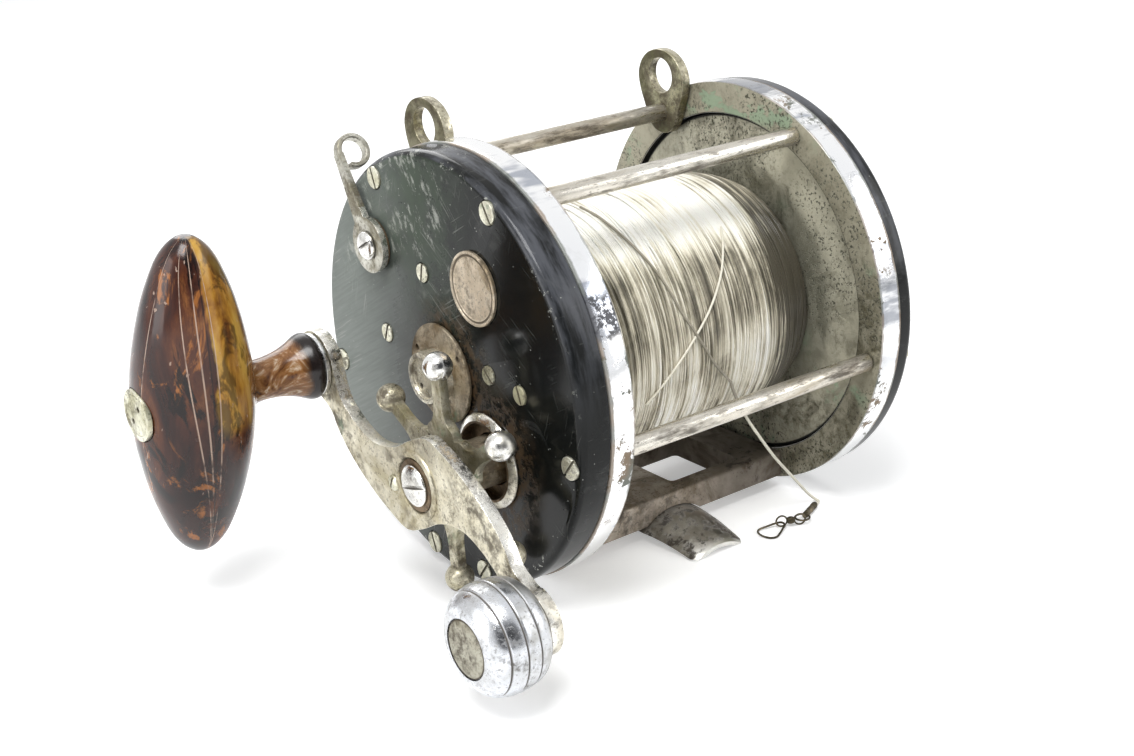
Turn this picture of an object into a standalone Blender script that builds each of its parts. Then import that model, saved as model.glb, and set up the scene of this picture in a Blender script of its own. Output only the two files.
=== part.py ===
"""A big-game trolling reel: frame, spool, geared crank with star drag, and the line's end.

Everything is placed in the reel's own frame, whose axes are u (forward, towards the rod's tip),
v (up) and w (outwards on the crank side, along the spool's axis). Its origin lies on the spool's
axis, level with the inner face of the head ring. One empty turns and moves that frame into the
world, where the reel stands on its rings and its foot.
"""
import math

import bmesh
import bpy
from mathutils import Matrix, Vector

# General clearances and overruns
seat_gap = 0.0003
run_gap = 0.0003
overrun = 0.002
full_turn = 2 * math.pi
facet_step = 4
rim_steps = 48
hole_steps = 8
head_steps = 8

# Frame rings and plates
frame_width = 0.0868
ring_radius = 0.0600
ring_band = 0.0091
ring_width = 0.0073
plate_rim_step = 0.0004
plate_rim_wall = 0.0096
plate_edge_radius = 0.0022
plate_wall = 0.0024
head_plate_depth = 0.0090
tail_plate_depth = 0.0052

# Pillars, with their screws
pillar_radius = 0.00255
pillar_rim_distance = 0.0046
pillar_angles = {
    "pillar_top_front": math.radians(61.7),
    "pillar_top_rear": math.radians(118.9),
    "pillar_low_front": math.radians(-11.0),
    "pillar_low_rear": math.radians(191.0),
}
screw_head_radius = 0.0031
screw_proud = 0.0006
screw_bevel = 0.0005
screw_shank_radius = 0.0013
screw_slot_width = 0.0008
screw_slot_depth = 0.0006
pillar_slot_turn = math.radians(57)

# Harness lugs
lug_thickness = 0.0030
lug_half_width = 0.0101
lug_height = 0.0186
lug_drop = 0.0064
lug_hole_radius = 0.0052
lug_hole_height = 0.0109
lug_inset = 0.0003
lug_outline_shares = (
    (0.32, 0.975), (0.62, 0.90), (0.87, 0.76), (1.0, 0.56), (0.94, 0.33), (0.76, 0.08),
    (0.58, -0.16), (0.34, -0.30),
)

# Stand and foot
stand_half_length = 0.0200
stand_rail_width = 0.0060
stand_rim_distance = 0.0120
stand_height = 0.0080
stand_window_gap = 0.0045
stand_tail_pad = 0.0133
stand_screw_u = 0.0122
stand_screw_rim_distance = 0.0056
stand_slot_angles = (math.radians(52), math.radians(109))
foot_offset = 0.0006
foot_rim_distance = 0.0075
foot_arch_radius = 0.0155
foot_sheet = 0.0016
foot_root_half_width = 0.0112
foot_tip_half_width = 0.0092
foot_half_length = 0.0395
foot_facets = 11
foot_rows = 7
foot_fall_power = 1.15

# Medallion
medallion_radius = 0.0099
medallion_thickness = 0.0008
medallion_rim = 0.0007
medallion_rim_distance = 0.01708
medallion_way = math.radians(56.65)

# Spool and its wound line
spool_flange_gap = 0.0004
spool_flange_thickness = 0.0018
spool_flange_offset = 0.0015
spool_dish_distance = 0.0065
spool_dish_depth = 0.0012
spool_dish_slope = 0.0030
spool_arbor_radius = 0.0160
spool_hub_radius = 0.0055
spool_hub_length = 0.0022
shaft_radius = 0.0030
line_diameter = 0.0009
line_gap = 0.00045
line_room = 0.0137
pack_width_shares = (0.0, 0.03, 0.30, 0.75, 0.90, 1.0)
pack_radius_shares = (0.94, 0.98, 1.0, 0.99, 0.94, 0.83)
wound_loops = 6
points_per_loop = 24
wound_start_share = 0.03
wound_end_share = 0.93

# Spool cap and bearings on the head side
cap_flange_share = 0.5045
cap_flange_thickness = 0.0011
cap_boss_radius = 0.0070
cap_boss_height = 0.0065
cap_recess_radius = 0.0056
cap_recess_depth = 0.0009
cap_spigot_radius = 0.0062
bushing_radius = 0.0048
bushing_length = 0.0030

# Crank axis and gears
crank_way = math.radians(-45.597)
gear_rim_gap = 0.002157
gear_teeth = 30
pinion_teeth = 12
gear_bottom = 0.0079
gear_thickness = 0.0025
gear_backlash = 0.00035
tooth_clearance = 0.25
pinion_bottom = 0.0039
pinion_tooth_bottom = 0.0062
pinion_groove_bottom = 0.0105
pinion_groove_top = 0.0118
pinion_top = 0.0123
pinion_hub_radius = 0.0048
pinion_groove_radius = 0.0052
pinion_flange_radius = 0.0066
clutch_width = 0.0022
clutch_half_length = 0.0040
clutch_bottom = 0.0036
clutch_top = 0.0050

# Bridge, stud, sleeve and ratchet
bridge_bottom = 0.0042
bridge_thickness = 0.0016
bridge_rim_gap = 0.0009
bridge_window_radius = 0.0060
bridge_post_radius = 0.0026
bridge_screw_shares = {
    "yoke_high": (-0.126, 0.526),
    "yoke_low": (-0.548, 0.088),
    "dog_rest": (0.430, 0.098),
    "dog_pivot": (0.700, 0.064),
}
bridge_slot_angle = math.radians(43)
stud_radius = 0.0022
stud_foot_radius = 0.0036
sleeve_radius = 0.0046
sleeve_wall = 0.0020
sleeve_bottom = 0.0062
ratchet_thickness = 0.0013
ratchet_radius = 0.0096
ratchet_root_radius = 0.0076
ratchet_teeth = 10
ratchet_crest_share = 0.12
ratchet_back_share = 0.55

# Drag stack
drag_outer_radius = 0.0135
drag_fibre_thickness = 0.0008
drag_steel_thickness = 0.0006
drag_plate_thickness = 0.0008
spacer_radius = 0.0068

# Dog
dog_thickness = 0.0013
dog_eye_radius = 0.0046
dog_tip_width = 0.0024
dog_tip_angle = math.radians(-14.1)
dog_eye_sweep = 1.9
dog_shoulder_share = 0.5
dog_spring_wire = 0.0003
dog_spring_radius = 0.0034
dog_spring_rise = 0.0010
dog_spring_leg = 0.0150
dog_spring_tip = 0.0050
dog_spring_sweep = math.radians(430)
dog_spring_points = 16

# Pinion yoke and lever
yoke_thickness = 0.0007
yoke_slot_radius = 0.0056
yoke_boss_radius = 0.0045
yoke_fork_radius = 0.0092
yoke_level = 0.0108
yoke_tip_gap = 0.00058
yoke_tongue_width = 0.0060
spring_wire_radius = 0.0002
spring_radius = 0.0036
spring_rise = 0.0003
spring_share = 0.9
spring_points = 12
lever_way = math.radians(133.727)
lever_rim_distance = 0.008623
lever_eye_radius = 0.0077
lever_thickness = 0.0018
lever_level = 0.0178
lever_length = 0.0262
lever_neck_width = 0.0056
lever_tip_width = 0.0028
lever_waist_share = 0.55
lever_angle = math.radians(118.3)
lever_curl_radius = 0.0042
lever_curl_width = 0.0032
lever_curl_thickness = 0.0014
lever_curl_sweep = math.radians(300)
lever_curl_points = 17
lever_washer_radius = 0.0072
lever_washer_thickness = 0.0006
lever_screw_radius = 0.0040
lever_screw_dome = 0.0017
lever_screw_shank_radius = 0.0010
lever_screw_depth = 0.0040
lever_slot_angle = math.radians(30)
lever_shaft_radius = 0.0020
cam_radius = 0.0048
cam_offset = 0.0018
cam_top = 0.0104
cam_thickness = 0.0018
dome_shares = ((0.45, 0.88), (0.80, 0.50), (1.0, 0.10))
dome_slot_share = 0.45

# Crank bushing
collar_gap = 0.00035
collar_band = 0.0027
collar_lap = 0.0013
collar_flange_thickness = 0.0010
collar_height = 0.0018
collar_spigot_depth = 0.0020

# Star wheel
star_level = 0.0295
star_thickness = 0.0026
star_hub_radius = 0.0105
star_hub_bottom = 0.0273
star_hub_top = 0.0315
star_hub_height_shares = (1.0, 0.86, 0.45, 0.0)
star_hub_radius_shares = (0.74, 0.88, 1.0, 0.95)
star_reach = 0.02935
star_ball_radius = 0.0039
star_arm_radius = 0.0019
star_web_radius = 0.0126
star_reach_shares = (0.44, 0.49, 0.56, 0.68, 0.93)
star_half_shares = (2.9, 1.9, 1.3, 1.0, 0.85)
star_arms = 6
star_phase = math.radians(31.9)

# Crank arm, counterbalance and grip
crank_back = 0.0360
crank_thickness = 0.0035
crank_reach = 0.0512
crank_tilt = math.radians(-24.0)
crank_boss_radius = 0.0090
crank_boss_start = math.radians(115)
crank_boss_end = math.radians(-150)
crank_boss_height = 0.0012
crank_recess_depth = 0.0006
crank_washer_radius = 0.0071
crank_washer_thickness = 0.0006
crank_screw_radius = 0.0056
crank_screw_dome = 0.0014
crank_screw_shank_radius = 0.0018
crank_slot_angle = math.radians(15)
lock_screw_radius = 0.0022
lock_screw_height = 0.0008
lock_screw_u = -0.0109
lock_screw_v = -0.0028
lock_slot_angle = math.radians(70)
crank_outer_reach_shares = (0.00, 0.15, 0.28, 0.40, 0.52, 0.63, 0.73, 0.80)
crank_outer_offset_shares = (0.315, 0.335, 0.336, 0.325, 0.303, 0.270, 0.222, 0.172)
crank_inner_reach_shares = (0.745, 0.63, 0.51, 0.41, 0.31, 0.21, 0.12)
crank_inner_offset_shares = (0.028, 0.063, 0.070, 0.055, 0.004, -0.082, -0.200)
counter_back = 0.0410
counter_front = 0.0580
counter_cap_radius = 0.0074
counter_cap_thickness = 0.0008
counter_groove_depth = 0.0005
counter_groove_width = 0.0007
counter_radius = 0.0142
counter_spigot_radius = 0.0030
counter_height_shares = (1.0, 0.95, 0.84, 0.68, 0.48, 0.15, 0.0)
counter_radius_shares = (0.60, 0.74, 0.885, 0.97, 1.0, 0.94, 0.80)
counter_groove_shares = (0.76, 0.51, 0.275)
grip_collar_radius = 0.0086
grip_collar_thickness = 0.0013
grip_centre_level = 0.0760
grip_radius = 0.0160
grip_half_length = 0.0462
grip_tilt = math.radians(10.7)
grip_length_shares = (1.0, 0.95, 0.87, 0.76, 0.60, 0.42, 0.21)
grip_radius_shares = (0.125, 0.31, 0.47, 0.605, 0.755, 0.875, 0.97)
neck_end_radius = 0.0092
neck_overlap = 0.0020
neck_length_shares = (0.0, 0.10, 0.28, 0.50, 0.75, 1.0)
neck_radius_shares = (1.0, 0.985, 0.80, 0.66, 0.61, 0.63)
spindle_radius = 0.0024
spindle_head_radius = 0.0036
spindle_nose_share = 0.8
spindle_head_height = 0.0009
grip_screw_radius = 0.0070
grip_screw_thickness = 0.0014

# Tail side
tail_cap_radius = 0.0120
tail_cap_flange = 0.0014
tail_cap_boss_radius = 0.0080
tail_cap_height = 0.0062
click_gear_radius = 0.0092
click_gear_root_radius = 0.0078
click_gear_teeth = 12
click_gear_thickness = 0.0014
click_angle = math.radians(140.0)
click_rest_radius = 0.0300
click_travel = 0.0050
click_tip_gap = 0.0006
click_tongue_width = 0.0036
click_tongue_thickness = 0.0014
click_stem_radius = 0.0014
click_button_radius = 0.0040
click_button_height = 0.0030
click_foot_radius = 0.0024
click_spring_half_width = 0.0032
click_spring_wire = 0.0004

# The line's end: a route by hand in u, v, w from the wound line to the crimp. The tackle's
# places are in u, height over the surface, w
route_points = (
    (0.0371, -0.0117, -0.0518),
    (0.0357, -0.0156, -0.0540),
    (0.0346, -0.0202, -0.0569),
    (0.0339, -0.0258, -0.0603),
    (0.0334, -0.0340, -0.0660),
    (0.0331, -0.0415, -0.0715),
    (0.0329, -0.0478, -0.0768),
    (0.0330, -0.0531, -0.0812),
    (0.0334, -0.0569, -0.0843),
    (0.0342, -0.0589, -0.0862),
    (0.0353, -0.0593, -0.0865),
    (0.0360, -0.0593, -0.0855),
    (0.0366, -0.0592, -0.0842),
)
route_step = 0.0024
crimp_start = (0.03685, 0.0011, -0.0836)
crimp_end = (0.0404, 0.0011, -0.0760)
crimp_radius = 0.0010
crimp_loop_radius = 0.0021
crimp_loop_wire = 0.0003
crimp_loop_lift = 0.0004
swivel_pull = (-0.468, 0, 0.884)
swivel_lift = 0.0004
swivel_eye_radius = 0.0016
swivel_eye_wire = 0.00025
swivel_body_radius = 0.0011
swivel_body_length = 0.0024
snap_points = (
    (0.0383, 0.0011, -0.0667),
    (0.0374, 0.0007, -0.0638),
    (0.0370, 0.0005, -0.0615),
    (0.0379, 0.0004, -0.0599),
    (0.0405, 0.0004, -0.0592),
    (0.0430, 0.0004, -0.0599),
    (0.0438, 0.0004, -0.0616),
    (0.0430, 0.0005, -0.0636),
    (0.0418, 0.0009, -0.0660),
    (0.0409, 0.0012, -0.0676),
)
snap_step = 0.0012
snap_wire = 0.0003

# Worked out from the sizes above
ring_bore_radius = ring_radius - ring_band
plate_radius = ring_radius - plate_rim_step
plate_cavity_radius = plate_radius - plate_rim_wall
pillar_circle_radius = ring_radius - pillar_rim_distance
bridge_radius = ring_bore_radius - bridge_rim_gap
bridge_screws = {name: (plate_cavity_radius * u, plate_cavity_radius * v)
                 for name, (u, v) in bridge_screw_shares.items()}
stand_top = stand_rim_distance - ring_radius
stand_screw_v = stand_screw_rim_distance - ring_radius
foot_top = foot_rim_distance - ring_radius
foot_centre = frame_width / 2 + foot_offset
stand_window_start = foot_centre + stand_window_gap
stand_window_end = frame_width - stand_tail_pad
spool_flange_radius = ring_bore_radius - spool_flange_gap
spool_dish_radius = spool_flange_radius - spool_dish_distance
pack_radius = spool_flange_radius - line_room
medallion_circle_radius = plate_cavity_radius - medallion_rim_distance
medallion_u = medallion_circle_radius * math.cos(medallion_way)
medallion_v = medallion_circle_radius * math.sin(medallion_way)
lever_circle_radius = plate_cavity_radius - lever_rim_distance
lever_u = lever_circle_radius * math.cos(lever_way)
lever_v = lever_circle_radius * math.sin(lever_way)
yoke_reach = lever_circle_radius - lever_shaft_radius - yoke_tip_gap
head_face = ring_width + seat_gap + head_plate_depth
head_inner_face = head_face - plate_wall
cap_bottom = head_inner_face
tail_ring_outer = -frame_width - ring_width
tail_face = tail_ring_outer - seat_gap - tail_plate_depth
tail_inner_face = tail_face + plate_wall
gear_reach = plate_cavity_radius - gear_rim_gap
gear_module = 2 * gear_reach / (2 * gear_teeth + pinion_teeth + 2)
pair_radius = gear_module * (gear_teeth + pinion_teeth) / 2
crank_u = pair_radius * math.cos(crank_way)
crank_v = pair_radius * math.sin(crank_way)
cap_flange_radius = pair_radius * cap_flange_share
collar_radius = pair_radius - cap_flange_radius - collar_gap
collar_bore_radius = collar_radius - collar_band
crank_hole_radius = collar_radius - collar_lap
bridge_top = bridge_bottom + bridge_thickness
gear_top = gear_bottom + gear_thickness
crank_front = crank_back + crank_thickness
star_bottom = star_level - star_thickness / 2
grip_face = grip_centre_level + grip_radius
grip_u = crank_u - crank_reach * math.cos(crank_tilt)
grip_v = crank_v - crank_reach * math.sin(crank_tilt)
tail_cap_end = tail_face - seat_gap - tail_cap_height
reel_front = crank_u + crank_reach * math.cos(crank_tilt) + counter_radius
origin_x = (grip_face + tail_cap_end) / 2
origin_y = (reel_front - ring_radius) / 2
origin_z = ring_radius

for old in list(bpy.data.objects):
    bpy.data.objects.remove(old, do_unlink=True)

parts = bpy.data.collections.new("trolling_reel")
cutters = bpy.data.collections.new("cutters")
bpy.context.scene.collection.children.link(parts)
bpy.context.scene.collection.children.link(cutters)

reel_frame = bpy.data.objects.new("reel_frame", None)
reel_frame.location = (origin_x, origin_y, origin_z)
reel_frame.rotation_euler = (math.pi / 2, 0, -math.pi / 2)
parts.objects.link(reel_frame)


# Materials
def material(name, colour, metallic, roughness):
    found = bpy.data.materials.new(name)
    found.use_nodes = True
    shader = found.node_tree.nodes["Principled BSDF"]
    shader.inputs["Base Color"].default_value = (*colour, 1)
    shader.inputs["Metallic"].default_value = metallic
    shader.inputs["Roughness"].default_value = roughness
    return found


chrome = material("worn_chrome", (0.78, 0.79, 0.80), 1.0, 0.18)
nickel = material("dull_nickel", (0.50, 0.49, 0.43), 1.0, 0.38)
stand_metal = material("pitted_bronze", (0.30, 0.26, 0.22), 1.0, 0.50)
ebonite = material("black_ebonite", (0.012, 0.015, 0.014), 0.0, 0.25)
brass = material("brass", (0.62, 0.46, 0.20), 1.0, 0.32)
steel = material("steel", (0.42, 0.42, 0.43), 1.0, 0.35)
fibre = material("drag_fibre", (0.22, 0.11, 0.06), 0.0, 0.80)
tortoiseshell = material("tortoiseshell", (0.18, 0.045, 0.012), 0.0, 0.12)
line_nylon = material("line_nylon", (0.78, 0.75, 0.66), 0.0, 0.35)
tackle_brass = material("tackle_brass", (0.16, 0.14, 0.11), 1.0, 0.40)


# Building helpers
def settle(obj, look, at=(0, 0, 0), turn=(0, 0, 0), group=parts):
    """Put an object in its collection, give it its look and hang it in the reel's frame."""
    if obj.name not in group.objects:
        group.objects.link(obj)
    obj.parent = reel_frame
    obj.location = at
    obj.rotation_euler = turn
    if look is not None:
        own = look.copy()
        own.name = obj.name + "_look"
        obj.data.materials.clear()
        obj.data.materials.append(own)
    if group is cutters:
        obj.hide_render = True
        obj.display_type = "WIRE"
    return obj


def from_bmesh(name, bm, look, at=(0, 0, 0), turn=(0, 0, 0), group=parts):
    mesh = bpy.data.meshes.new(name)
    bm.to_mesh(mesh)
    bm.free()
    mesh.shade_smooth()
    mesh.set_sharp_from_angle(angle=math.radians(35))
    return settle(bpy.data.objects.new(name, mesh), look, at, turn, group)


def turned(name, profile, look, at=(0, 0, 0), turn=(0, 0, 0), steps=32, ring=False, group=parts):
    """A turned piece: its profile (radius, height) runs down the outer side, from the top."""
    bm = bmesh.new()
    points = [bm.verts.new((radius, 0, height)) for radius, height in profile]
    for first, second in zip(points, points[1:]):
        bm.edges.new((first, second))
    if ring:
        bm.edges.new((points[-1], points[0]))
    obj = from_bmesh(name, bm, look, at, turn, group)
    screw = obj.modifiers.new("turned", "SCREW")
    screw.axis = "Z"
    screw.angle = full_turn
    screw.steps = steps
    screw.render_steps = steps
    screw.use_merge_vertices = True
    screw.merge_threshold = 0.00001
    screw.use_smooth_shade = True
    return obj


def disc(name, radius, low, high, look, at=(0, 0, 0), turn=(0, 0, 0), steps=24, group=parts):
    """A plain round solid between two heights."""
    profile = ((0, high), (radius, high), (radius, low), (0, low))
    return turned(name, profile, look, at, turn, steps, False, group)


def washer(name, bore, radius, low, high, look, at=(0, 0, 0), steps=20):
    """A flat ring between two heights."""
    profile = ((radius, high), (radius, low), (bore, low), (bore, high))
    return turned(name, profile, look, at, steps=steps, ring=True)


def drills(name, places, radius, low, high, steps=16):
    """One cutter that drills the same round hole at several places."""
    bm = bmesh.new()
    for u, v in places:
        middle = Matrix.Translation((u, v, (low + high) / 2))
        bmesh.ops.create_cone(bm, cap_ends=True, segments=steps, radius1=radius, radius2=radius,
                              depth=high - low, matrix=middle)
    return from_bmesh(name, bm, None, group=cutters)


def box(name, low, high, at=(0, 0, 0), turn=(0, 0, 0), look=None, group=cutters):
    """A box between two corners, in its own frame."""
    size = [b - a for a, b in zip(low, high)]
    middle = [(a + b) / 2 for a, b in zip(low, high)]
    bm = bmesh.new()
    bmesh.ops.create_cube(bm, size=1, matrix=Matrix.Translation(middle) @ Matrix.Diagonal((*size, 1)))
    return from_bmesh(name, bm, look, at, turn, group)


def combine(obj, other, operation):
    change = obj.modifiers.new(other.name, "BOOLEAN")
    change.operation = operation
    change.object = other
    change.solver = "EXACT"


def cut(obj, *others):
    for other in others:
        combine(obj, other, "DIFFERENCE")


def join(obj, *others):
    for other in others:
        combine(obj, other, "UNION")


def solid_from_curve(name, curve, look, at, turn, group):
    """Turn a curve object into a closed mesh, with its caps welded."""
    holder = bpy.data.objects.new(name + "_curve", curve)
    group.objects.link(holder)
    graph = bpy.context.evaluated_depsgraph_get()
    mesh = bpy.data.meshes.new_from_object(holder.evaluated_get(graph))
    bpy.data.objects.remove(holder)
    bm = bmesh.new()
    bm.from_mesh(mesh)
    bpy.data.meshes.remove(mesh)
    bmesh.ops.remove_doubles(bm, verts=bm.verts, dist=0.000001)
    bmesh.ops.recalc_face_normals(bm, faces=bm.faces)
    return from_bmesh(name, bm, look, at, turn, group)


def flat_piece(name, outlines, low, high, look, at=(0, 0, 0), turn=(0, 0, 0), group=parts):
    """A flat piece between two heights: its first outline is the rim, the others are holes."""
    curve = bpy.data.curves.new(name, "CURVE")
    curve.dimensions = "2D"
    curve.fill_mode = "BOTH"
    curve.extrude = (high - low) / 2
    for outline in outlines:
        spline = curve.splines.new("POLY")
        spline.points.add(len(outline) - 1)
        spline.use_cyclic_u = True
        for point, (x, y) in zip(spline.points, outline):
            point.co = (x, y, 0, 1)
    middle = Vector((0, 0, (low + high) / 2))
    obj = solid_from_curve(name, curve, look, at, turn, group)
    obj.data.transform(Matrix.Translation(middle))
    return obj


def wire(name, points, radius, look, cyclic=False, resolution=2, mesh=False, group=parts):
    """A round wire along points in the reel's frame, as a curve or as a closed mesh."""
    curve = bpy.data.curves.new(name, "CURVE")
    curve.dimensions = "3D"
    curve.bevel_depth = radius
    curve.bevel_resolution = resolution
    curve.use_fill_caps = not cyclic
    spline = curve.splines.new("POLY")
    spline.points.add(len(points) - 1)
    spline.use_cyclic_u = cyclic
    for point, place in zip(spline.points, points):
        point.co = (*place, 1)
    if mesh:
        return solid_from_curve(name, curve, look, (0, 0, 0), (0, 0, 0), group)
    return settle(bpy.data.objects.new(name, curve), look, group=group)


def arc(centre, radius, start, end, count):
    """Points along an arc, both ends included."""
    turns = [start + (end - start) * i / (count - 1) for i in range(count)]
    return [(centre[0] + radius * math.cos(a), centre[1] + radius * math.sin(a)) for a in turns]


def circle(radius, count, centre=(0, 0)):
    """Points round a whole circle."""
    return arc(centre, radius, 0, full_turn * (count - 1) / count, count)


def smooth_route(points, step):
    """Points along a smooth curve through the given ones, about one step apart."""
    way = [Vector(p) for p in points]
    ends = [2 * way[0] - way[1]] + way + [2 * way[-1] - way[-2]]
    route = []
    for before, a, b, after in zip(ends, ends[1:], ends[2:], ends[3:]):
        count = max(1, round((b - a).length / step))
        for i in range(count):
            t = i / count
            route.append(0.5 * (2 * a + (b - before) * t
                                + (2 * before - 5 * a + 4 * b - after) * t * t
                                + (3 * a - before - 3 * b + after) * t * t * t))
    route.append(way[-1])
    return route


def on_circle(radius, angle):
    return radius * math.cos(angle), radius * math.sin(angle)


def screw_profile(radius, face, seat, outwards, shank_end):
    """A slotted screw from its crown, just proud of the plate's face, to its shank's end."""
    crown = face + outwards * screw_proud
    shoulder = crown - outwards * screw_bevel
    return [(0, crown), (radius - screw_bevel, crown), (radius, shoulder), (radius, seat),
            (screw_shank_radius, seat), (screw_shank_radius, shank_end)]


head_screw_seat = ring_width + seat_gap
tail_screw_seat = tail_ring_outer - seat_gap


# Screw places shared by the plates and the rings
pillar_places = {name: on_circle(pillar_circle_radius, angle) for name, angle in pillar_angles.items()}
stand_places = [(stand_screw_u, stand_screw_v), (-stand_screw_u, stand_screw_v)]
rim_places = list(pillar_places.values()) + stand_places


def slot_cutter(name, place, angle, reach=screw_head_radius):
    """The slot across a screw's head in the head plate's face."""
    crown = head_face + screw_proud
    half = screw_slot_width / 2
    return box(name, (-reach - overrun, -half, crown - screw_slot_depth),
               (reach + overrun, half, crown + overrun), (*place, 0), (0, 0, angle))


# Rings and plates
def make_ring(name, inner, outer):
    """A chromed ring between two heights, drilled for the screws of the pillars and the stand."""
    high, low = max(inner, outer), min(inner, outer)
    profile = ((ring_radius, high), (ring_radius, low), (ring_bore_radius, low), (ring_bore_radius, high))
    ring = turned(name, profile, chrome, steps=rim_steps, ring=True)
    holes = drills(name + "_holes", rim_places, screw_shank_radius + seat_gap,
                   low - overrun, high + overrun, hole_steps)
    cut(ring, holes)
    return ring


def plate_profile(face, back, inner, outwards):
    """The profile of a plate's cup, from the centre of its face to the centre of its floor."""
    points = [(0, face)]
    centre = (plate_radius - plate_edge_radius, face - outwards * plate_edge_radius)
    for x, y in arc((0, 0), plate_edge_radius, math.pi / 2, 0, 4):
        points.append((centre[0] + x, centre[1] + outwards * y))
    points += [(plate_radius, back), (plate_cavity_radius, back), (plate_cavity_radius, inner), (0, inner)]
    return points if outwards > 0 else points[::-1]


def make_head_plate():
    profile = plate_profile(head_face, ring_width + seat_gap, head_inner_face, 1)
    plate = turned("head_plate", profile, ebonite, steps=rim_steps)
    low, high = ring_width - overrun, head_face + overrun
    bridge_places = list(bridge_screws.values())
    cut(plate,
        drills("head_rim_holes", rim_places, screw_head_radius + seat_gap, low, high, hole_steps),
        drills("head_bridge_holes", bridge_places, bridge_post_radius + seat_gap,
               head_inner_face - overrun, high, hole_steps),
        drills("head_cap_hole", [(0, 0)], cap_spigot_radius + seat_gap,
               head_inner_face - overrun, high, 20),
        drills("head_crank_hole", [(crank_u, crank_v)], crank_hole_radius,
               head_inner_face - overrun, high, 24),
        drills("head_lever_hole", [(lever_u, lever_v)], lever_shaft_radius + run_gap,
               head_inner_face - overrun, high, 12))
    return plate


def make_tail_plate():
    profile = plate_profile(tail_face, tail_ring_outer - seat_gap, tail_inner_face, -1)
    plate = turned("tail_plate", profile, ebonite, steps=rim_steps)
    low, high = tail_face - overrun, tail_ring_outer + overrun
    slot_half = click_stem_radius + run_gap
    slot_start = click_rest_radius - click_travel - slot_half
    cut(plate,
        drills("tail_rim_holes", rim_places, screw_head_radius + seat_gap, low, high, hole_steps),
        drills("tail_cap_hole", [(0, 0)], cap_spigot_radius + seat_gap,
               low, tail_inner_face + overrun, 20),
        box("click_slot", (slot_start, -slot_half, low),
            (click_rest_radius + slot_half, slot_half, tail_inner_face + overrun),
            turn=(0, 0, click_angle)))
    return plate


# Pillars, lugs and stand
def make_pillar(name, place):
    """A pillar and the screws that hold it, in one piece."""
    head = screw_profile(screw_head_radius, head_face, head_screw_seat, 1, -seat_gap)
    tail = screw_profile(screw_head_radius, tail_face, tail_screw_seat, -1, -frame_width + seat_gap)
    body = [(pillar_radius, -seat_gap), (pillar_radius, -frame_width + seat_gap)]
    pillar = turned(name, head + body + tail[::-1], nickel, (*place, 0), steps=head_steps)
    cut(pillar, slot_cutter(name + "_slot", place, math.atan2(place[1], place[0]) + pillar_slot_turn))
    return pillar


def make_lug(name, low):
    """A flat harness lug that stands up from the top rear pillar."""
    half = [(0, lug_height)]
    half += [(lug_half_width * x, lug_height * y) for x, y in lug_outline_shares]
    half.append((0, -lug_drop))
    rim = half + [(-x, y) for x, y in half[-2:0:-1]]
    hole = circle(lug_hole_radius, 16, (0, lug_hole_height))
    pillar_hole = circle(pillar_radius + seat_gap, 12)
    place = pillar_places["pillar_top_rear"]
    return flat_piece(name, (rim, hole, pillar_hole), low, low + lug_thickness, nickel, (*place, 0))


def make_stand():
    """The stand under the spool: rails, pad, window, and the four screws in its ends."""
    start, end = -seat_gap, -frame_width + seat_gap
    floor = stand_top - stand_height
    stand = box("stand_frame", (-stand_half_length, floor, end), (stand_half_length, stand_top, start),
                look=stand_metal, group=parts)
    inner = stand_half_length - stand_rail_width
    cut(stand, box("stand_window", (-inner, floor - overrun, -stand_window_end),
                   (inner, stand_top + overrun, -stand_window_start)))
    saddle = foot_arch_radius + seat_gap
    cut(stand, disc("foot_bed", saddle, -stand_half_length - overrun, stand_half_length + overrun,
                    None, (0, foot_top - foot_arch_radius, -foot_centre), (0, math.pi / 2, 0), 28,
                    cutters))
    for index, (place, slot_angle) in enumerate(zip(stand_places, stand_slot_angles)):
        head = screw_profile(screw_head_radius, head_face, head_screw_seat, 1, start - overrun)
        tail = screw_profile(screw_head_radius, tail_face, tail_screw_seat, -1, end + overrun)
        join(stand,
             turned(f"stand_head_screw_{index}", head + [(0, start - overrun)], None, (*place, 0),
                    steps=head_steps, group=cutters),
             turned(f"stand_tail_screw_{index}", [(0, end + overrun)] + tail[::-1], None,
                    (*place, 0), steps=head_steps, group=cutters))
        cut(stand, slot_cutter(f"stand_slot_{index}", place, slot_angle))
    return stand


def make_foot():
    """The saddle foot: an arched sheet whose toes fall and narrow towards their tips."""
    inner_radius = foot_arch_radius - foot_sheet
    foot = bmesh.new()
    rows = []
    for row in range(foot_rows):
        along = foot_half_length * (2 * row / (foot_rows - 1) - 1)
        past = max(0, (abs(along) - stand_half_length) / (foot_half_length - stand_half_length))
        half = foot_root_half_width + (foot_tip_half_width - foot_root_half_width) * past
        outer_angle = math.asin(half / foot_arch_radius)
        drop = foot_arch_radius * math.cos(outer_angle)
        inner_angle = math.acos(drop / inner_radius)
        tip_top = foot_arch_radius - drop - ring_radius
        middle = foot_top + (tip_top - foot_top) * past ** foot_fall_power - foot_arch_radius
        section = []
        for radius, angle in ((foot_arch_radius, outer_angle), (inner_radius, -inner_angle)):
            for i in range(foot_facets + 1):
                turn = angle * (2 * i / foot_facets - 1)
                section.append(foot.verts.new((along, middle + radius * math.cos(turn),
                                               -foot_centre + radius * math.sin(turn))))
        rows.append(section)
    for low, high in zip(rows, rows[1:]):
        for i in range(len(low)):
            foot.faces.new((low[i - 1], low[i], high[i], high[i - 1]))
    for section in (rows[0], rows[-1]):
        for i in range(foot_facets):
            foot.faces.new((section[i], section[i + 1], section[-2 - i], section[-1 - i]))
    bmesh.ops.recalc_face_normals(foot, faces=foot.faces)
    return from_bmesh("reel_foot", foot, stand_metal)


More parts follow.
